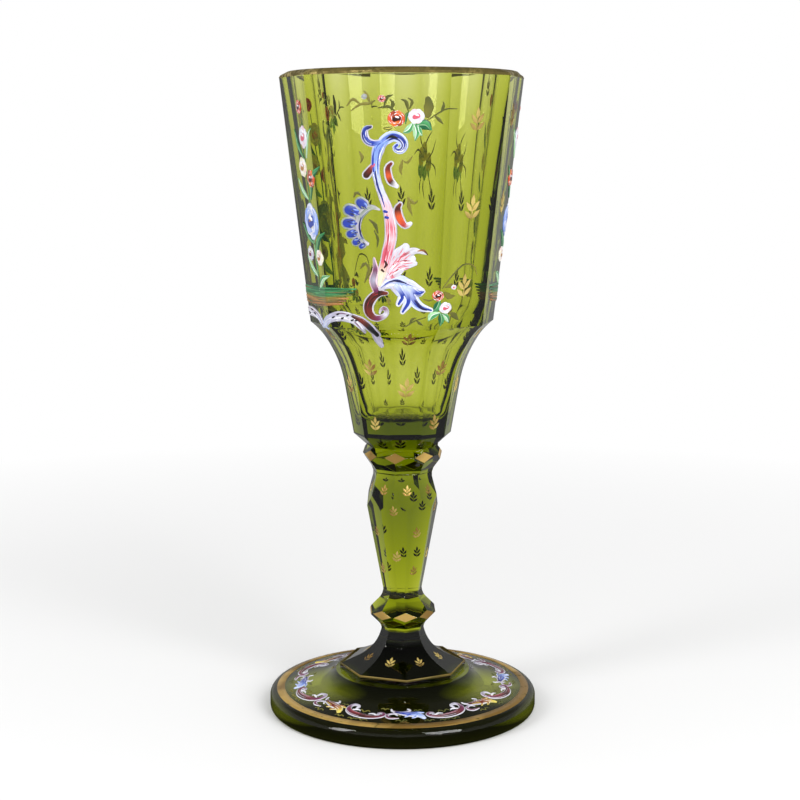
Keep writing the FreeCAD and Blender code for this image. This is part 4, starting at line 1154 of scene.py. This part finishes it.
def sprigPoints(walls):
    # where the sprigs stand, with their turn and size
    spots, turns, sizes = [], [], []

    def add(wall, direction, z, size, u=0.0, tilt=0.0):
        base, up = (onWall(wall, direction, np.array([u]), np.array([z + step]),
                           np.zeros(1))[0] for step in (0.0, 0.6))
        upward = Vector(up - base).normalized()
        aside = Vector((math.cos(math.radians(direction)), math.sin(math.radians(direction)), 0))
        outward = aside.cross(upward).normalized()
        frameOf = Matrix((upward.cross(outward), upward,
                          outward)).transposed() @ Matrix.Rotation(tilt, 3, "Z")
        spots.append(Vector(base) - upward * size / 2)
        turns.append(frameOf.to_euler("XYZ"))
        sizes.append(size)

    chance = random.Random(11)
    for direction, heights in sprigs["wall"].items():
        for z in heights:
            add(walls["bowl"], direction, z, sprigs["wallHeight"], chance.uniform(-0.8, 0.8),
                chance.uniform(-0.14, 0.14))
    for index in range(glass["facets"]["bowl"]):
        for z, size in zip(sprigs["low"][index % 2], sprigs["lowHeight"][index % 2]):
            direction = glass["turns"]["bowl"] + 36 * index
            add(walls["bowl"], direction, z, size, chance.uniform(-0.4, 0.4), chance.uniform(-0.12, 0.12))
    for index in range(glass["facets"]["other"]):
        stem, neck, pedestal = (glass["turns"][name] + 45 * index for name in ("stem", "neck", "pedestal"))
        for z in sprigs["stem"][index % 2]:
            add(walls["stem"], stem, z, sprigs["stemHeight"], 0.0, chance.uniform(-0.15, 0.15))
        add(walls["shoulder"], neck, sprigs["shoulder"], sprigs["stemHeight"], 0.0,
            chance.uniform(-0.15, 0.15))
        add(walls["pedestal"], pedestal, sprigs["pedestal"], sprigs["pedestalHeight"])
    mesh = newMesh("sprigPoints", spots)
    mesh.attributes.new("facing", "FLOAT_VECTOR", "POINT").data.foreach_set("vector", np.array(turns).ravel())
    mesh.attributes.new("size", "FLOAT", "POINT").data.foreach_set("value", sizes)
    return mesh


# Materials
def newMaterial(name):
    made = bpy.data.materials.new(name)
    made.use_nodes = True
    return made, made.node_tree, made.node_tree.nodes["Principled BSDF"]


def ranged(tree, value, low, high, first=0.0, last=1.0):
    # a value carried from one range over to another
    return addNode(tree, "ShaderNodeMapRange", {
        "Value": value, "From Min": low, "From Max": high, "To Min": first, "To Max": last})


def mixColour(tree, amount, first, second):
    return addNode(tree, "ShaderNodeMix", {"Factor": amount, 6: first, 7: second},
                   data_type="RGBA").outputs[2]


def glassMaterial():
    # clear glass with slightly wavy faces, that takes its green from the depth of the glass
    made, tree, surface = newMaterial("green_glass")
    spot = addNode(tree, "ShaderNodeTexCoord").outputs["Object"]
    scaled = addNode(tree, "ShaderNodeMapping", {"Vector": spot, "Scale": (1, 1, 0.25)})
    waves = addNode(tree, "ShaderNodeTexNoise", {"Vector": scaled, "Scale": 90.0, "Detail": 1.0})
    bump = addNode(tree, "ShaderNodeBump", {"Height": waves, "Strength": 0.12, "Distance": 0.001})
    feed(tree, surface,
         {"Base Color": (1, 1, 1, 1), "Roughness": 0.0, "IOR": 1.5, "Transmission Weight": 1, "Normal": bump})
    depth = {"Color": looks["glassColour"], "Density": looks["glassDensity"]}
    feed(tree, tree.nodes["Material Output"], {"Volume": addNode(tree, "ShaderNodeVolumeAbsorption", depth)})
    return made


def enamelMaterial():
    # the painted tones, with fine streaks along the brush
    made, tree, surface = newMaterial("enamel")
    tint, grain, under = (addNode(tree, "ShaderNodeAttribute",
                                  attribute_name=name) for name in ("paint", "grain", "under"))
    scaled = addNode(tree, "ShaderNodeMapping",
                     {"Vector": grain.outputs["Vector"], "Scale": (3.4, 0.45, 1.0)})
    noise = addNode(tree, "ShaderNodeTexNoise", {"Vector": scaled, "Scale": 1.0, "Detail": 3.0})
    amount = ranged(tree, noise, 0.3, 0.7, 0.78, 1.18)
    toned = addNode(tree, "ShaderNodeVectorMath", {0: tint.outputs["Color"], "Scale": amount},
                    operation="SCALE")
    # the underside, seen through the glass, gets a faint painted glow (emission) in its own tones, standing in
    # for the daylight that the thin enamel would let through
    paintedUndersideGlow = maths(tree, "MULTIPLY", under.outputs["Fac"], looks["enamelPass"])
    bump = addNode(tree, "ShaderNodeBump", {"Height": noise, "Strength": 0.35, "Distance": 0.0002})
    feed(tree, surface, {"Base Color": toned, "Roughness": 0.32, "Coat Weight": 0.25, "Emission Color": toned,
                         "Emission Strength": paintedUndersideGlow, "Normal": bump})
    return made


def goldMaterial(name, bright, dulled, worn, metal=0.6, rough=0.3, bare=0.58):
    # fired gold, thin and worn in places, and nearly black from behind
    made, tree, surface = newMaterial(name)
    spot = addNode(tree, "ShaderNodeTexCoord").outputs["Object"]
    under = addNode(tree, "ShaderNodeAttribute", attribute_name="under").outputs["Fac"]
    patches = addNode(tree, "ShaderNodeTexNoise",
                      {"Vector": spot, "Scale": 420.0, "Detail": 4.0, "Roughness": 0.65})
    broad = addNode(tree, "ShaderNodeTexNoise", {"Vector": spot, "Scale": 75.0, "Detail": 1.0})
    wear = ranged(tree, patches, bare, bare + 0.12)
    colour = mixColour(tree, ranged(tree, broad, 0.42, 0.58), looks[bright], looks[dulled])
    colour = mixColour(tree, wear, colour, looks[worn])
    front = maths(tree, "SUBTRACT", 1.0, under)
    feed(tree, surface, {"Base Color": mixColour(tree, under, colour, looks["goldBack"]),
                         "Metallic": maths(tree, "MULTIPLY", front, metal),
                         "Roughness": ranged(tree, wear, 0.0, 1.0, rough, 0.6)})
    return made


looks = {
    "glassColour": (0.7415, 0.7723, 0.0, 1),
    "glassDensity": 325,
    "goldBack": (0.012, 0.010, 0.004, 1),
    "gold": (0.76, 0.50, 0.14, 1),
    "goldDull": (0.36, 0.21, 0.05, 1),
    "goldWorn": (0.14, 0.11, 0.025, 1),
    "lipGold": (0.48, 0.38, 0.12, 1),
    "lipDull": (0.20, 0.15, 0.04, 1),
    "lineGold": (0.33, 0.23, 0.06, 1),
    "sprigGold": (0.95, 0.73, 0.22, 1),
    "twigGold": (0.22, 0.20, 0.03, 1),
    "twigDull": (0.10, 0.11, 0.02, 1),
    # strength of the painted glow on the enamel's underside
    "enamelPass": 0.3,
    "floor": (0.82, 0.82, 0.82, 1),
}


# Studio: floor, backdrop, lamps and camera
def rayShare(tree, *kinds):
    # one for rays of these kinds, nothing for the others
    path = addNode(tree, "ShaderNodeLightPath")
    total = path.outputs["Is " + kinds[0] + " Ray"]
    for kind in kinds[1:]:
        total = maths(tree, "MAXIMUM", total, path.outputs["Is " + kind + " Ray"])
    return total


def lessMirrored(tree, light):
    # the light in full for rays that pass through the glass, and less for the others
    through = rayShare(tree, "Transmission")
    return maths(tree, "MULTIPLY", light, ranged(tree, through, 0.0, 1.0, studio["mirror"], 1.0))


def floorMaterial():
    made, tree, surface = newMaterial("pale_floor")
    feed(tree, surface, {"Base Color": looks["floor"], "Roughness": 0.85, "Specular IOR Level": 0.2})
    spot = addNode(tree, "ShaderNodeTexCoord").outputs["Object"]
    radius = addNode(tree, "ShaderNodeVectorMath", {0: spot}, operation="LENGTH").outputs["Value"]
    # for the camera it turns plain white far from the goblet
    white = addNode(tree, "ShaderNodeEmission", {"Color": (1, 1, 1, 1), "Strength": 1.0})
    far = ranged(tree, radius, studio["whiteFrom"], studio["whiteTo"])
    farSeen = maths(tree, "MULTIPLY", far, rayShare(tree, "Camera"))
    plain = addNode(tree, "ShaderNodeMixShader", {0: farSeen, 1: surface, 2: white})
    # rays that the glass bends or mirrors see the floor glow, with painted shade dark below the foot and a
    # painted light patch on either side
    clear = ranged(tree, radius, studio["darkTo"], studio["glowFrom"], studio["underGlow"], 1.0)
    beside = addNode(tree, "ShaderNodeVectorMath", {0: spot}, operation="ABSOLUTE")
    off = addNode(tree, "ShaderNodeVectorMath", {0: beside, 1: studio["patchAt"]},
                  operation="DISTANCE").outputs["Value"]
    patch = ranged(tree, off, studio["patchFrom"], studio["patchReach"], studio["patchGlow"], 0.0)
    shown = lessMirrored(tree, maths(tree, "MAXIMUM", clear, patch))
    glow = addNode(tree, "ShaderNodeEmission", {"Color": (1, 1, 1, 1), "Strength": shown})
    mixed = addNode(tree, "ShaderNodeMixShader",
                    {0: rayShare(tree, "Glossy", "Transmission"), 1: plain, 2: glow})
    feed(tree, tree.nodes["Material Output"], {"Surface": mixed})
    return made


def makeStage():
    size = studio["floorSize"]
    corners = [(-size, -size, 0), (size, -size, 0), (size, size, 0), (-size, size, 0)]
    floor = place("floor", newMesh("floor", corners, faces=[(0, 1, 2, 3)]))
    floor.data.materials.append(floorMaterial())


def makeWorld():
    # white towards the horizon, darker overhead for what the glass mirrors and bends, and soft light for the rest
    world = bpy.data.worlds.new("studio")
    world.use_nodes = True
    bpy.context.scene.world = world
    tree = world.node_tree
    way = addNode(tree, "ShaderNodeTexCoord").outputs["Generated"]
    up = addNode(tree, "ShaderNodeSeparateXYZ", {0: way}).outputs["Z"]
    sides = lessMirrored(tree, ranged(tree, up, studio["darkFrom"], studio["darkFull"], 1.0,
                                      studio["overhead"]))
    shaded = maths(tree, "MULTIPLY", sides, rayShare(tree, "Glossy", "Transmission"))
    direct = maths(tree, "MAXIMUM", rayShare(tree, "Camera"), shaded)
    rest = maths(tree, "SUBTRACT", 1.0, rayShare(tree, "Camera", "Glossy", "Transmission"))
    soft = maths(tree, "MULTIPLY_ADD", rest, studio["softLight"], direct)
    feed(tree, tree.nodes["Background"], {"Color": (1, 1, 1, 1), "Strength": soft})


def addLamp(name, spot, target, width, height, power):
    data = bpy.data.lights.new(name, "AREA")
    data.shape = "RECTANGLE"
    data.size, data.size_y, data.energy = width, height, power
    lamp = place(name, data)
    lamp.location = spot
    lamp.rotation_euler = (Vector(target) - Vector(spot)).to_track_quat("-Z", "Y").to_euler()
    # seen through the glass, a lamp would be a bright stripe on the stem
    lamp.visible_transmission = False


studio = {
    "floorSize": 3.0,
    "whiteFrom": 0.12,
    "whiteTo": 0.5,
    "darkTo": 0.046,
    "glowFrom": 0.125,
    # painted shade on the floor below the foot, and painted light patches beside it, as seen through the glass
    "underGlow": 0.03,
    "patchGlow": 0.8,
    "patchAt": (0.0255, 0.002, 0),
    "patchFrom": 0.003,
    "patchReach": 0.017,
    "mirror": 0.4,
    "darkFrom": 0.42,
    "darkFull": 0.62,
    "overhead": 0.22,
    "softLight": 0.8,
    "lamps": [
        ("window", (0.55, -0.75, 0.62), (0, 0, 0.12), 0.5, 0.7, 7.0),
        ("side", (-0.71, -0.5, 0.5), (0, 0, 0.12), 0.26, 0.6, 3.5),
    ],
}

# the camera that was fitted to the photograph: millimetres and degrees
camera = {"lens": 72.66, "height": 184.63, "distance": 526.9, "aside": -0.7, "pitch": 8.706, "roll": 0.06}


def makeCamera():
    data = bpy.data.cameras.new("camera")
    data.lens = camera["lens"]
    data.clip_start = 0.01
    eye = place("camera", data)
    eye.location = Vector((camera["aside"], -camera["distance"], camera["height"])) * mm
    eye.rotation_euler = Euler((math.radians(90 - camera["pitch"]), math.radians(camera["roll"]), 0))
    bpy.context.scene.camera = eye


# Everything put together
sweepInFacets = facetTree()
repeatAround = repeatTree()
scatterSprigs = scatterTree()
enamel = enamelMaterial()
lipFinish = goldMaterial("lip_gold", "lipGold", "lipDull", "goldWorn", bare=0.44)
bandFinish = goldMaterial("fired_gold", "gold", "goldDull", "goldWorn")
lineFinish = goldMaterial("line_gold", "lineGold", "lipDull", "goldWorn", rough=0.4)
sprigFinish = goldMaterial("sprig_gold", "sprigGold", "goldDull", "gold", rough=0.34)
twigFinish = goldMaterial("twig_gold", "twigGold", "twigDull", "goldWorn", metal=0.2, rough=0.4)

goblet = makeGlass()
goblet.data.materials.clear()
goblet.data.materials.append(glassMaterial())
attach(goblet, "root")
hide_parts("foot", "pedestal", "lower_knop", "stem", "upper_knop", "bowl")
print("glass made")

for name, mesh, finish in (
    ("lip_gilding", lipGold(), lipFinish),
    ("upper_knop_gilding", lozenges("upperLozenges", "upperKnop", "upper_knop"), bandFinish),
    ("lower_knop_gilding", lozenges("lowerLozenges", "lowerKnop", "lower_knop"), bandFinish),
    ("pedestal_gold_line", edgeLine(), lineFinish),
    ("foot_gold_band", footBand(), bandFinish),
):
    addPiece(name + "_gold", mesh, finish, [name])
print("gilding made")

walls = {
    "bowl": wallOf("bowl", "bowl", glass["turns"]["bowl"], 10),
    "stem": wallOf("stem", "stem", glass["turns"]["stem"]),
    "shoulder": wallOf("shoulder", "stem", glass["turns"]["neck"]),
    "pedestal": wallOf("pedestal", "pedestal", glass["turns"]["pedestal"]),
}
layout = {
    # direction in degrees, width and height, left and lower edge, side
    "front": (0, (42, 72), -18, 132),
    "second": (-122, (42, 72), -18, 132, -1),
    "left": (-61, (19, 64), 0, 138.3),
    "right": (97, (19, 64), 0, 138.3, -1),
    "spray": (157, (42, 72), 0, 132),
}
panels = {name: wallPanel(walls["bowl"], *values) for name, values in layout.items()}
works = {
    "scroll_stem": (scrollStem, "rose"), "scroll_shell": (scrollShell, "blue"),
    "scroll_comma": (scrollCommas, "red"),
    "scroll_leaf": (scrollLeaves, "white"), "flower": (scrollFlowers, "rose"),
    "flower_leaf": (scrollFoliage, "green"),
    "base_scroll": (baseScroll, "white"), "bouquet_bloom": (bouquetBlooms, "white"),
    "bouquet_leaf": (bouquetFoliage, "green"), "ground": (bouquetGround, "green"),
    "tendrils": (scrollTendrils, None),
}
paints = {name: newPaint() for name in works}
for name, (work, slot) in works.items():
    for side in ("left", "right") if work in (bouquetBlooms, bouquetFoliage,
                                              bouquetGround) else ("front", "second"):
        work((paints[name], panels[side]))
farSpray(*((paints[name], panels["spray"]) for name in ("flower", "flower_leaf", "tendrils")))
for name, (work, slot) in works.items():
    if slot:
        addPiece(name + "_paint", paintMesh(name, paints[name]), enamel, [name + "_enamel"])
addPiece("gold_tendrils", paintMesh("tendrils", paints["tendrils"]), twigFinish)
print("bowl painted")

ring = {"foot_scroll": (enamel, "enamel_rose", ["foot_scroll_enamel"]),
        "foot_leaf": (enamel, "enamel_blue", ["foot_leaf_enamel"]),
        "foot_curl": (twigFinish, "gilding", [])}
paints = {name: newPaint() for name in ring}
panel = borderPanel()
borderUnit(*((paints[name], panel) for name in ring))
for name, (finish, slot, nodes) in ring.items():
    copies = border["repeats"] // 2
    mesh = grow(name, paintMesh(name, paints[name]), repeatAround, Copies=copies, Step=math.tau / copies)
    addPiece(name + "_paint", mesh, finish, nodes)
print("foot painted")

sprig = place("sprig", sprigShape())
mesh = grow("gold_sprigs", sprigPoints(walls), scatterSprigs, Sprig=sprig, Uneven=sprigs["uneven"])
bpy.data.objects.remove(sprig)
addPiece("gold_sprigs", mesh, sprigFinish)
print("sprigs strewn")

makeStage()
makeWorld()
for lamp in studio["lamps"]:
    addLamp(*lamp)
makeCamera()
bpy.context.scene.view_settings.view_transform = "Standard"
